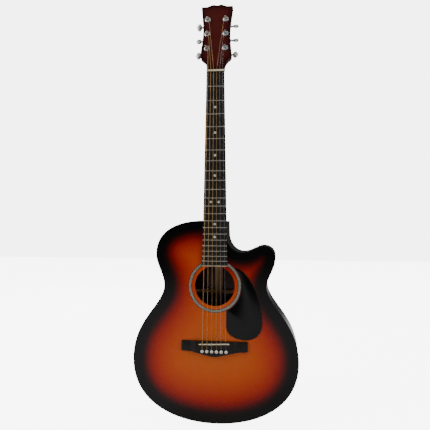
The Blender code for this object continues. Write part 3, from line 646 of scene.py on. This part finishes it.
def make_body():
    """Soundboard, back, bindings and the two sides, with their gaps closed."""
    outline = curved_outline(BODY_ANCHORS, 5 * MM)
    inner = inset(outline, BINDING)
    top_back = BODY_FRONT_Y + PLATE_THICKNESS
    top = shaded_plate("soundboard_lacquered", inner, BODY_FRONT_Y, top_back, 6 * MM,
                       (HOLE_Z, HOLE_RADIUS))
    finished(top, "sunburst", "sunburst_top", "soundboard")
    back_front = BODY_BACK_Y - PLATE_THICKNESS
    back = shaded_plate("back_lacquered", inner, back_front, BODY_BACK_Y, 8 * MM)
    finished(back, "back_burst", "black_lacquer", "back")
    wall_front, wall_back = top_back + GAP / 2, back_front - GAP / 2
    front = BODY_FRONT_Y - PROUD
    profile = rounded_edge(EDGE_RADIUS, front, 1)
    profile += [(0, wall_front), (BINDING, wall_front), (BINDING, front)]
    finished(rim("top_binding_strip", outline, profile), "black_plastic", "black_plastic",
             "top_binding")
    profile = rounded_edge(EDGE_RADIUS, BODY_BACK_Y + PROUD, -1)
    profile += [(0, wall_back), (BINDING, wall_back), (BINDING, BODY_BACK_Y + PROUD)]
    finished(rim("back_binding_strip", outline, profile), "black_plastic", "black_plastic")
    tail = min(range(len(outline)), key=lambda i: outline[i][1])
    tenon = next(i for i, (x, _) in enumerate(outline) if x < -10.4 * MM)
    wall = [(0, wall_front), (0, wall_back), (SIDE_THICKNESS, wall_back), (SIDE_THICKNESS, wall_front)]
    for name, node, stations, sign in (
        ("bass_side_wall", "side_bass", list(range(tenon, tail + 1)), -1),
        ("treble_side_wall", "side_treble", [*range(tail, len(outline)), 0], 1),
    ):
        seams = [(-1 if sign < 0 else 0, sign * PROUD)]
        finished(rim(name, outline, wall, stations, seams), "black", "black_lacquer", node)
    half, thickness = 2.5 * MM, 0.35 * MM
    strip = [(-half, 0), (half, 0), (half, -thickness), (-half, -thickness)]
    place = shift(0, 0, BODY_TAIL_Z + 0.1 * MM)
    finished(plate("tail_seam_strip", strip, top_back, back_front, place), "black_plastic", "black_plastic")


def ring(name, inner, outer, front, back, sides=128):
    """A flat ring around the sound hole's axis."""
    place = shift(0, 0, HOLE_Z)
    rings = []
    for (a, b), (c, d) in zip(circle(outer, sides), circle(inner, sides)):
        rings.append([(a, front, b), (c, front, d), (c, back, d), (a, back, b)])
    return loft(name, rings, place, closed=True)


def make_rosette():
    """A pearl ring between dark lines, laid into the soundboard.

    Each ring's edges are given from the rosette's own edge, in millimetres, and so is what stands proud.
    """
    for name, inner, outer, look, proud in (
        ("rosette_outer_line", 1.1, 0, "black_plastic", 0.04),
        ("rosette_pearl_ring", 6.9, 1.1, "pearl", 0.06),
        ("rosette_inner_line", 8.0, 6.9, "black_plastic", 0.04),
    ):
        made = ring(name, ROSETTE_RADIUS - inner * MM, ROSETTE_RADIUS - outer * MM,
                    BODY_FRONT_Y - proud * MM, BODY_FRONT_Y + 0.8 * MM)
        nodes = ("rosette",) if look == "pearl" else ()
        finished(made, look, look, *nodes)


def nearest(outline, point):
    """Which of an outline's points is nearest to one given in millimetres."""
    x, z = point[0] * MM, point[1] * MM
    return min(range(len(outline)), key=lambda i: hypot(outline[i][0] - x, outline[i][1] - z))


def make_pickguard():
    """The black teardrop plate with a polished edge."""
    anchors = [
        (113.6, -603, (0, -26), (0, 55)), (*GUARD_TOP, (39, -6), NO), (*GUARD_FOOT, NO, NO),
        (28.1, -612, NO, (0, -22)), (75, -643.5, (-25, 0), (23, 0)),
    ]
    outline = curved_outline(anchors, 5 * MM)
    corner, lower = (nearest(outline, point) for point in (GUARD_TOP, GUARD_FOOT))
    radius = ROSETTE_RADIUS + 2 * GAP
    first, last = (atan2(z * MM - HOLE_Z, x * MM) for x, z in (GUARD_TOP, GUARD_FOOT))
    steps = 30
    angles = [first + (last - first) * i / steps for i in range(1, steps)]
    outline[corner + 1:lower] = [(radius * cos(a), HOLE_Z + radius * sin(a)) for a in angles]
    low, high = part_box("pickguard")
    made = plate("pickguard_plate", outline, low.y, BODY_FRONT_Y - 0.01 * MM)
    bevelled(made, 0.7 * MM)
    finished(made, "guard", "black_plastic", "pickguard")


# ---------------------------------------------------------------- bridge


def bridge_lower_edge(x, half):
    """The height of the bridge's lower edge: straight wings that flow into a belly."""
    share = abs(x) / half
    belly = cos(pi * min(share, 0.75) / 1.5) ** 2
    return (-671.5 - 5 * (1 - share) - 7.5 * belly) * MM


def make_bridge():
    """Bridge with scooped wings, saddle, and pins with dark dots."""
    half = BRIDGE_HIGH.x
    top, face, foot = BRIDGE_HIGH.z, BRIDGE_LOW.y, BODY_FRONT_Y - 0.01 * MM
    rings = []
    steps = 90
    for i in range(steps + 1):
        x = half * (2 * i / steps - 1)
        wing = min(1, max(0, (abs(x) - WING_START_X) / WING_FALL_LENGTH))
        level = face + WING_DROP * (3 - 2 * wing) * wing**2
        low = bridge_lower_edge(x, half)
        rings.append([(x, foot, top), (x, foot, low), (x, level, low), (x, level, top)])
    bridge = bevelled(loft("bridge_carved", rings), 1.0 * MM)
    place = shift(0, 0, (SADDLE_LOW.z + SADDLE_HIGH.z) / 2)
    place = place @ Matrix.Rotation(-SADDLE_SLANT, 4, "Y")
    slot = plate("saddle_slot", box_outline(SADDLE_LENGTH / 2 + 0.1 * MM, 1.6 * MM), face - 9 * MM,
                 2.3 * MM, place)
    holes = []
    for number in range(1, 7):
        hole = shift(string_x(number, PIN_SPACING), 0, PIN_Z)
        holes.append(turned("pin_hole", [(-20, 2.7), (5, 2.7)], 20, hole))
    cut(bridge, slot, *holes)
    finished(bridge, "bridge_wood", "black_wood", "bridge")
    crown = [(-1.5, 1.2), (-1.1, 0.45), (-0.4, 0.05), (0.4, 0.05), (1.1, 0.45), (1.5, 1.2)]
    rings = []
    for i in range(25):
        share = 2 * i / 24 - 1
        x = share * SADDLE_LENGTH / 2
        arch = 0.5 * MM * share**2
        ring_points = [(x, SADDLE_LOW.y + arch + y * MM, z * MM) for z, y in crown]
        ring_points += [(x, 2.2 * MM, 1.5 * MM), (x, 2.2 * MM, -1.5 * MM)]
        rings.append(ring_points)
    finished(loft("saddle_bone", rings, place), "bone", "bone", "saddle")
    for number in range(1, 7):
        make_bridge_pin(number)


def box_outline(half_width, half_height):
    """Four corners around the origin."""
    return [(-half_width, -half_height), (half_width, -half_height), (half_width, half_height),
            (-half_width, half_height)]


def make_bridge_pin(number):
    """One bridge pin: a domed head with a dark dot, a collar and a tapered shank."""
    place = shift(string_x(number, PIN_SPACING), PIN_LOW.y, PIN_Z)
    profile = [(0.02, 0.5), (0.15, 1.4), (0.6, 2.5), (1.3, 3.3), (2.1, 3.75), (2.7, 3.8), (3.1, 3.4),
               (3.3, 2.7), ((PIN_HIGH.y - PIN_LOW.y) / MM, 2.0)]
    made = turned(f"bridge_pin_{number}_white", profile, 32, place)
    finished(made, "white_plastic", "white_plastic", f"bridge_pin_{number}")
    dot = turned(f"bridge_pin_{number}_dot", [(-0.06, 0.7), (0, 1.15), (0.6, 1.15)], 20, place)
    finished(dot, "black_plastic", "black_plastic")


# ---------------------------------------------------------------- neck

SHAFT_SECTION = ((1, 0), (0.99, 0.25), (0.93, 0.5), (0.8, 0.72), (0.6, 0.88), (0.32, 0.97), (0, 1))
HEEL_SECTION = ((1, 0), (0.86, 0.2), (0.62, 0.45), (0.5, 0.7), (0.44, 0.94), (0.36, 1), (0, 1))
NECK_STATIONS = (
    (14, 13.0, 0), (4, 14.7, 0), (-30, 15.0, 0), (-140, 15.8, 0), (-300, 17.0, 0),
    (-318, 19.0, 0.05), (-327, 25, 0.2), (-333, 37, 0.5), (-337, 55, 0.8), (-340, 78, 0.95),
    (-342, 96.7, 1), (-350, 96.7, 1), (-359.9, 96.7, 1),
)
HEAD_ANCHORS = [
    (21.5, 0, NO, NO), (21.7, 8, NO, (0.5, 8)), (34, 28, (-6, -4), (3, 2)),
    (38, 38, (0, -5), (0, 12)), (33, 100, (0, -25), (0, 25)), (39, 169, (-2, -25), NO),
    (27, 169, NO, (-6, 0)), (9, 174, (6, 0), (-5, 0)), (0, 171.8, (3, 0), NO),
]
DOT_FRETS = (3, 5, 7, 9, 12, 15, 17)


def board_width(z):
    """The fretboard's width at a height."""
    return NUT_WIDTH + (BOARD_END_WIDTH - NUT_WIDTH) * z / BOARD_END_Z


def string_x(number, spacing):
    """A string's place across the neck. String one is on the treble side."""
    return (3.5 - number) * spacing


def neck_ring(z, depth, heel):
    """One smooth cross-section of the neck behind its flat front."""
    half = board_width(min(z, 0)) / 2
    shape = [(a + (c - a) * heel, b + (d - b) * heel)
             for (a, b), (c, d) in zip(SHAFT_SECTION, HEEL_SECTION)]
    both = [(-x, y) for x, y in shape] + [(x, y) for x, y in reversed(shape[:-1])]
    front = BOARD_THICKNESS + PROUD
    return [(x * half, front + y * depth, z) for x, y in spline(both, 4)]


def make_neck():
    """Neck shaft and heel, headstock with its face veneer, and heel cap."""
    rings = [neck_ring(z * MM, depth * MM, min(1, max(0, heel)))
             for z, depth, heel in spline(NECK_STATIONS, 5)]
    finished(loft("neck_shaft", rings), "mahogany", "mahogany", "neck")
    other = [(-x, z, (-b[0], b[1]), (-a[0], a[1])) for x, z, a, b in reversed(HEAD_ANCHORS[:-1])]
    outline = curved_outline(HEAD_ANCHORS + other, 3 * MM)
    core = plate("headstock_core", outline, VENEER, HEAD_THICKNESS, HEAD_FRAME)
    bevelled(core, 1.2 * MM)
    finished(core, "mahogany", "mahogany")
    face = shaded_plate("headstock_face", outline, 0, VENEER, 4 * MM, None, HEAD_FRAME)
    finished(face, "head_burst", "mahogany")
    low, high, top = CAP_LOW.x, CAP_HIGH.x, CAP_HIGH.z
    cap_outline = [
        (low, CAP_LOW.z), (high, CAP_LOW.z), (high, top - 5 * MM), (high * 0.85, top - 1.8 * MM),
        (high * 0.5, top), (low * 0.5, top), (low * 0.85, top - 1.8 * MM), (low, top - 5 * MM),
    ]
    cap = plate("heel_cap_plate", cap_outline, CAP_LOW.y - 0.35 * MM, CAP_HIGH.y)
    bevelled(cap, 0.6 * MM)
    finished(cap, "black_plastic", "black_plastic", "heel_cap")


def fret_z(number):
    """A fret's height. Fret zero is the nut."""
    return -SCALE_LENGTH * (1 - 2 ** (-number / 12))


def make_fret(number):
    """One fret with a round crown and tapered ends."""
    z = fret_z(number)
    half = board_width(z) / 2 - 0.1 * MM
    tapered, full = half - 0.5 * MM, half - 1.2 * MM
    arc = [pi * i / 8 for i in range(9)]
    rings = []
    for x, lift in ((-half, 0.25), (-tapered, 0.8), (-full, 1), (full, 1), (tapered, 0.8), (half, 0.25)):
        points = [(x, -lift * MM * sin(a), z + 1.1 * MM * cos(a)) for a in arc]
        rings.append(points + [(x, 0.4 * MM, z - 1.0 * MM), (x, 0.4 * MM, z + 1.0 * MM)])
    finished(loft(f"fret_{number}", rings), "nickel", "steel")


def make_fretboard():
    """The board, its frets, its dots and the light strip at its end."""
    half_start, half_end, end = board_width(0) / 2, board_width(BOARD_END_Z) / 2, BOARD_END_Z
    top = -0.01 * MM
    corners = [(-half_start, top), (-half_end, end), (half_end, end), (half_start, top)]
    board = plate("fretboard_black", corners, 0, BOARD_THICKNESS + 0.2 * MM)
    bevelled(board, 0.4 * MM)
    finished(board, "black_wood", "black_wood", "fretboard")
    for number in range(1, FRETS + 1):
        make_fret(number)
    strip_top = end + 1.3 * MM
    corners = [(-half_end, end), (half_end, end), (half_end, strip_top), (-half_end, strip_top)]
    strip = plate("board_end_strip", corners, -0.08 * MM, BOARD_THICKNESS)
    finished(strip, "bone", "bone")
    profile = [(-PROUD / MM, 2.9), (0, 3.1), (0.8, 3.1)]
    for fret in DOT_FRETS:
        for x in ((-9.5 * MM, 9.5 * MM) if fret == 12 else (0,)):
            place = shift(x, 0, (fret_z(fret) + fret_z(fret - 1)) / 2)
            side = "b" if x > 0 else "a"
            dot = turned(f"position_dot_{fret}{side}", profile, 32, place)
            finished(dot, "dot", "pearl")


def make_nut():
    """A bone nut with a slot for each string and a rounded top."""
    half, length = NUT_WIDTH / 2, NUT_HIGH.z
    rings = []
    for i in range(9):
        x = half * (2 * i / 8 - 1)
        top = NUT_LOW.y - 0.9 * MM + 0.4 * MM * (x / half) ** 2
        rings.append([
            (x, BOARD_THICKNESS, 0), (x, BOARD_THICKNESS, length), (x, top + 1.0 * MM, length),
            (x, top + 0.25 * MM, length - 0.7 * MM), (x, top, length - 1.8 * MM), (x, top, 0.4 * MM),
            (x, top + 0.4 * MM, 0),
        ])
    nut = loft("nut_bone", rings)
    slots = []
    for number in range(1, 7):
        radius = STRING_DIAMETERS[number - 1] / 2 + 0.08 * MM
        x = string_x(number, NUT_STRING_SPACING)
        centre = NUT_LOW.y - GAP - STRING_DIAMETERS[number - 1] / 2
        slots.append(plate(f"slot_{number}", box_outline(radius, 10 * MM), centre - 5 * MM,
                           centre + radius, shift(x, 0, 0)))
    cut(nut, *slots)
    finished(nut, "bone", "bone", "nut")


def make_end_pin():
    """The turned strap button."""
    middle = (END_LOW.y + END_HIGH.y) / 2
    place = shift(0, middle, BODY_TAIL_Z) @ Matrix.Rotation(-pi / 2, 4, "X")
    profile = [(-18, 4.2), (0, 5.0), (0, 7.0), (0.7, 7.1), (1.6, 6.6), (3, 5.4), (4.5, 4.8), (6, 4.8),
               (7.4, 5.5), (8.4, 6.6), (9.2, 7.1), (10, 7.1), (10.7, 6.4), (11, 5.0)]
    made = turned("strap_button", profile, 40, place)
    finished(made, "black_plastic", "black_plastic", "end_pin")


# ---------------------------------------------------------------- tuning machines


def tuner_frame(string):
    """The frame of one tuning machine: X outwards, Y to the back, Z up the headstock."""
    side = 1 if string <= 3 else -1
    height = POST_HEIGHTS[string - 1 if string <= 3 else 6 - string]
    mirror = Matrix.Diagonal((side, 1, 1, 1))
    return HEAD_FRAME @ shift(side * POST_X, 0, height) @ mirror


def worm_frame(string):
    """The frame of one worm: Y outwards along its shaft."""
    place = tuner_frame(string) @ shift(0, GEAR_Y, WORM_Z)
    return place @ Matrix.Rotation(-pi / 2, 4, "Z")


def make_bushing(string):
    """A washer and a bevelled hexagon around the post."""
    place = tuner_frame(string)
    bore = 3.25
    profile = [(-0.5, bore), (-1.5, 4.6), (-1.5, 6.3), (-1.2, 6.8), (-0.7, 7), (0, 7), (3, 4.8), (3, bore)]
    washer = turned(f"tuner_{string}_washer", profile, 48, place)
    finished(washer, "chrome", "chrome", f"tuner_{string}_bushing")
    rings = []
    for y, radius in ((-1.2, 5.6), (-3.3, 5.6), (-3.9, 5.1), (-3.9, 3.9)):
        rings.append([(u, y * MM, v) for u, v in hexagon(radius * MM, 8)])
    for y in (-3.6, -1.2):
        rings.append([(u, y * MM, v) for u, v in circle(bore * MM, 48)])
    nut = loft(f"tuner_{string}_hexagon", rings, place)
    finished(nut, "chrome", "chrome")


def hexagon(radius, per_side):
    """Points around a hexagon, as many on each side."""
    corners = circle(radius, 6)
    points = []
    for here, there in zip(corners, corners[1:] + corners[:1]):
        for i in range(per_side):
            t = i / per_side
            points.append((here[0] + (there[0] - here[0]) * t, here[1] + (there[1] - here[1]) * t))
    return points


def make_post(string):
    """The string post with its hole and its slot."""
    place = tuner_frame(string)
    profile = [(-13, 1.8), (-12.9, 2.4), (-12.5, 2.8), (-11.8, 3.0), (-10.8, 3.0), (-10.2, 2.85),
               (-9, 2.85), (-6, 2.85), (-5, 3.0), (19.9, 3.0)]
    post = turned(f"tuner_{string}_string_post", profile, 40, place)
    across = place @ shift(0, -11.3 * MM, 0) @ Matrix.Rotation(pi / 2, 4, "X")
    bore = turned("post_hole", [(-8, 0.8), (8, 0.8)], 16, across)
    slot = plate("post_slot", box_outline(1.6 * MM, 0.45 * MM), -14 * MM, -12.6 * MM, place)
    cut(post, bore, slot)
    finished(post, "chrome", "chrome", f"tuner_{string}_post", body=f"post_{string}")


def make_worm_wheel(string):
    """The toothed wheel at the post's inner end, its teeth leaning with the worm's thread."""
    pitch = 2 * pi / WHEEL_TEETH
    lean = WHEEL_HALF_THICKNESS * WORM_LEAD / (2 * pi * WORM_PITCH_RADIUS) / WHEEL_PITCH_RADIUS
    flank = ((0.37, -0.7 * MM), (0.25, -0.2 * MM), (0.14, TOOTH_TIP))
    shape = [(-share, height) for share, height in flank] + list(reversed(flank))
    rings = []
    for end in (-1, 1):
        ring_points = []
        for tooth in range(WHEEL_TEETH):
            for share, height in shape:
                angle = -pi / 2 + (tooth + 0.5 + share) * pitch + end * lean
                radius = WHEEL_PITCH_RADIUS + height
                ring_points.append((radius * cos(angle), GEAR_Y + end * WHEEL_HALF_THICKNESS,
                                    radius * sin(angle)))
        rings.append(ring_points)
    wheel = loft(f"tuner_{string}_worm_wheel", rings, tuner_frame(string))
    finished(wheel, "steel", "chrome", body=f"post_{string}")


def button_size(share):
    """How thick and how wide the button is at a share of its length, as shares of its sizes."""
    if share < 0.9:
        thick = 0.62 + 0.38 * sin(pi * share) ** 0.7
        wide = 0.30 + 0.70 * sin(pi * min(1, share * 1.06 + 0.04)) ** 0.62
    else:
        thick = 0.62 * ((1 - share) / 0.1) ** 0.5 * 0.9 + 0.14
        wide = 0.55 * (1 - share) ** 0.5 + 0.12
    return thick, wide


def make_knob(string):
    """The worm, its shaft and the oval button."""
    axis = worm_frame(string)
    body = f"knob_{string}"
    core, half, shaft = 1.7, 3.6, 1.9
    profile = [
        (-half, core), (half, core), (half, shaft), (14.5, shaft), (14.9, 2.5), (15.6, 2.7),
        (16.3, 2.5), (16.7, shaft), (19, shaft),
    ]
    finished(turned(f"tuner_{string}_shaft", profile, 32, axis), "chrome", "chrome", body=body)
    finished(loft(f"tuner_{string}_worm", worm_thread(), axis), "steel", "chrome", body=body)
    turn = radians(BUTTON_TURNS[string - 1])
    rings = []
    steps = 18
    for i in range(steps + 1):
        thick, wide = button_size(i / steps)
        y = BUTTON_START_X + i / steps * BUTTON_LENGTH
        points = []
        for u, v in circle(1, 40):
            a = BUTTON_HALF_THICKNESS * thick * abs(u) ** 0.85 * (1 if u > 0 else -1)
            b = BUTTON_HALF_WIDTH * wide * v
            points.append((a * cos(turn) - b * sin(turn), y, a * sin(turn) + b * cos(turn)))
        rings.append(points)
    button = loft(f"tuner_{string}_button", rings, axis)
    finished(button, "satin", "chrome", f"tuner_{string}_knob", body=body)


def worm_thread():
    """The worm's thread, finely stepped."""
    sides, turns_total = 32, 2.5
    section = ((-0.60 * MM, -0.9 * MM), (-0.27 * MM, TOOTH_TIP), (0.27 * MM, TOOTH_TIP),
               (0.60 * MM, -0.9 * MM))
    rings = []
    for i in range(round(sides * turns_total) + 1):
        turns = i / sides - turns_total / 2
        angle = pi / 2 - 2 * pi * turns
        rings.append([
            ((WORM_PITCH_RADIUS + height) * cos(angle), turns * WORM_LEAD + along,
             (WORM_PITCH_RADIUS + height) * sin(angle))
            for along, height in section
        ])
    return rings


def make_housing(string):
    """The cast gear cover with rounded edges, and its collar."""
    place, shaft = tuner_frame(string), worm_frame(string)
    front = HEAD_THICKNESS + 0.02 * MM
    back = 2 * GEAR_Y - HEAD_THICKNESS - GAP
    high, low = HOUSING_REACH, WORM_Z - 4.5 * MM
    corner = 3.2 * MM
    inner = high - corner
    outline = [(-inner, low), (inner, low), (high, low + corner), (high, inner), (inner, high),
               (-inner, high), (-high, inner), (-high, low + corner)]
    cover = plate(f"tuner_{string}_gear_cover", outline, front, back, place)
    bevelled(cover, 1.3 * MM, 4, 20)
    room = plate("gear_room", inset(outline, 1.4 * MM), front - MM, back - 1.5 * MM, place)
    hole = turned("shaft_hole", [(4, 2.2), (12, 2.2)], 24, shaft)
    cut(cover, room, hole)
    finished(cover, "chrome", "chrome", f"tuner_{string}_housing")
    profile = ((6.6, 4.0), (8.6, 3.9), (9.4, 3.4), (11.6, 3.2), (12.3, 3.0), (12.5, 2.7), (12.5, 2.2),
               (6.6, 2.2))
    collar = turned(f"tuner_{string}_collar", profile, 32, shaft, closed=True)
    finished(collar, "chrome", "chrome")


def make_fixing(string):
    """The ear above the gear cover and its cross-head screw."""
    corner = shift(0, HEAD_THICKNESS + 0.02 * MM, HOUSING_REACH + 1.8 * MM)
    place = tuner_frame(string) @ corner
    profile = ((0, 3.6), (1.3, 3.6), (1.7, 3.2))
    finished(turned(f"tuner_{string}_ear", profile, 28, place), "chrome", "chrome")
    profile = ((1.6, 2.1), (2.1, 2.0), (2.6, 1.5), (2.8, 0.8))
    screw = turned(f"tuner_{string}_screw", profile, 24, place)
    cut(screw, *[plate("cross", box_outline(a * MM, b * MM), 2.2 * MM, 4 * MM, place)
                 for a, b in ((1.2, 0.25), (0.25, 1.2))])
    finished(screw, "steel", "steel")


# ---------------------------------------------------------------- strings


def string_route(string):
    """From inside the bridge beside the pin, over the saddle and the nut, and around the post."""
    radius = STRING_DIAMETERS[string - 1] / 2
    clear = GAP + radius
    face = BRIDGE_LOW.y
    nut_y, saddle_y = NUT_LOW.y - clear, SADDLE_LOW.y - clear + 0.28 * MM
    side = 1 if string <= 3 else -1
    saddle_x, nut_x = string_x(string, SADDLE_STRING_SPACING), string_x(string, NUT_STRING_SPACING)
    saddle_z = (SADDLE_LOW.z + SADDLE_HIGH.z) / 2 + saddle_x * sin(SADDLE_SLANT)
    pin_x = string_x(string, PIN_SPACING)
    points = [
        Vector((pin_x, face + 2.5 * MM, PIN_Z + 2.7 * MM)),
        Vector((pin_x, face - 0.2 * MM, PIN_Z + 3.6 * MM)),
        Vector((pin_x, face - 0.2 * MM - radius, PIN_Z + 4.8 * MM)),
        Vector((saddle_x, saddle_y + 0.3 * MM, saddle_z - 1.2 * MM)),
        Vector((saddle_x, saddle_y, saddle_z)),
        Vector((saddle_x, saddle_y, saddle_z + 1.5 * MM)),
        Vector((nut_x, nut_y, 0)),
        Vector((nut_x, nut_y, NUT_HIGH.z - 1.6 * MM)),
        Vector((nut_x, nut_y + 0.4 * MM, NUT_HIGH.z)),
    ]
    centre = HEAD_FRAME.inverted() @ tuner_frame(string).translation
    start = HEAD_FRAME.inverted() @ points[-1]
    around = POST_WAIST + radius + 0.05 * MM
    across, up = centre.x - start.x, centre.z - start.z
    heading = atan2(up, across) + side * asin(around / hypot(across, up))
    angle = heading + side * pi / 2
    wraps = 2.5
    steps = 60
    for i in range(steps + 1):
        turned_by = -side * 2 * pi * wraps * i / steps
        x, z = centre.x + around * cos(angle + turned_by), centre.z + around * sin(angle + turned_by)
        y = -9.6 * MM + wraps * i / steps * (2 * radius + 0.05 * MM)
        points.append(HEAD_FRAME @ Vector((x, y, z)))
    return points


def make_string(string):
    """One string: plain steel, or wound with bronze."""
    curve = bpy.data.curves.new(f"string_{string}_wire", "CURVE")
    curve.dimensions = "3D"
    curve.bevel_depth = STRING_DIAMETERS[string - 1] / 2
    curve.bevel_resolution = 3
    curve.use_fill_caps = True
    route = string_route(string)
    line = curve.splines.new("POLY")
    line.points.add(len(route) - 1)
    for point, place in zip(line.points, route):
        point.co = (*place, 1)
    made = placed(f"string_{string}_wire", curve)
    look = "steel" if string < 3 else "bronze_thin" if string < 5 else "bronze_thick"
    slot = "steel" if string < 3 else "bronze"
    finished(made, look, slot, f"string_{string}", smooth=False)


# ---------------------------------------------------------------- inside


def finish_inside():
    """Gives the CAD's own inner pieces bare wood or metal."""
    looks = {
        "block_wood": ("neck_block", "tail_block", "lining_top", "lining_back", "bridge_plate"),
        "spruce": ("top_bracing", "upper_transverse_brace", "back_bracing"),
        "steel": ("truss_rod", "truss_nut"),
    }
    for look, nodes in looks.items():
        for node in nodes:
            made = frame["nodes"][node]
            made.data.materials.clear()
            made.data.materials.append(MATERIALS[look])


# ---------------------------------------------------------------- studio


def make_camera():
    """A camera low in front of the guitar, a little to its treble side."""
    data = bpy.data.cameras.new("camera")
    data.sensor_width = 36
    data.lens = CAMERA_LENS
    camera = placed("camera", data)
    aim = Matrix.Rotation(CAMERA_YAW, 4, "Z") @ Matrix.Rotation(pi / 2 + CAMERA_RISE, 4, "X")
    roll = Matrix.Rotation(CAMERA_ROLL, 4, "Z")
    back_off = shift(0, 0, CAMERA_DISTANCE)
    camera.matrix_world = Matrix.Translation(CAMERA_TARGET) @ aim @ roll @ back_off
    bpy.context.scene.camera = camera


def make_light(name, place, aim, size, power):
    """A soft square light."""
    data = bpy.data.lights.new(name, "AREA")
    data.shape = "RECTANGLE"
    data.size, data.size_y = size
    data.energy = power
    light = placed(name, data)
    light.location = place
    light.rotation_euler = (Vector(aim) - Vector(place)).to_track_quat("-Z", "Y").to_euler()


def make_studio():
    """A pale floor and a white surround, both dim to the guitar, and soft lights."""
    floor_z = END_LOW.z - 0.3 * MM
    corners = [(x, y, floor_z) for x, y in box_outline(6, 6)]
    floor = solid("floor", corners, [(0, 1, 2, 3)])
    pale = material("pale_floor", (0.9, 0.9, 0.9), 0.9)
    shader = pale.node_tree.nodes["Principled BSDF"]
    shader.inputs["Emission Color"].default_value = (1, 1, 1, 1)
    shader.inputs["Specular IOR Level"].default_value = 0
    seen = pale.node_tree.nodes.new("ShaderNodeLightPath")
    glow = spread(pale.node_tree, seen.outputs["Is Camera Ray"], 0, BACKDROP)
    pale.node_tree.links.new(glow, shader.inputs["Emission Strength"])
    floor.data.materials.append(pale)
    world = bpy.data.worlds.new("studio")
    bpy.context.scene.world = world
    world.use_nodes = True
    tree = world.node_tree
    dim = tree.nodes["Background"]
    dim.inputs["Color"].default_value = (1, 1, 1, 1)
    dim.inputs["Strength"].default_value = 0.04
    bright = add(tree, "ShaderNodeBackground", Strength=BACKDROP)
    path = tree.nodes.new("ShaderNodeLightPath")
    mix = tree.nodes.new("ShaderNodeMixShader")
    tree.links.new(path.outputs["Is Camera Ray"], mix.inputs["Fac"])
    tree.links.new(dim.outputs[0], mix.inputs[1])
    tree.links.new(bright.outputs[0], mix.inputs[2])
    tree.links.new(mix.outputs[0], tree.nodes["World Output"].inputs["Surface"])
    middle = (0, 0, -0.45)
    make_light("key_light", (-2.1, -1.5, 1.1), middle, (2.0, 2.6), 54)
    make_light("fill_light", (2.4, -1.3, 0.5), middle, (2.0, 2.6), 42)
    make_light("top_light", (0, -0.8, 2.4), middle, (3.0, 1.6), 14)
    make_light("back_light", (-1.3, 2.0, 1.3), middle, (1.8, 1.8), 55)


make_camera()
make_body()
make_rosette()
make_pickguard()
make_bridge()
make_neck()
make_fretboard()
make_nut()
make_end_pin()
for number in range(1, 7):
    make_bushing(number)
    make_post(number)
    make_worm_wheel(number)
    make_knob(number)
    make_housing(number)
    make_fixing(number)
    make_string(number)
finish_inside()
make_studio()
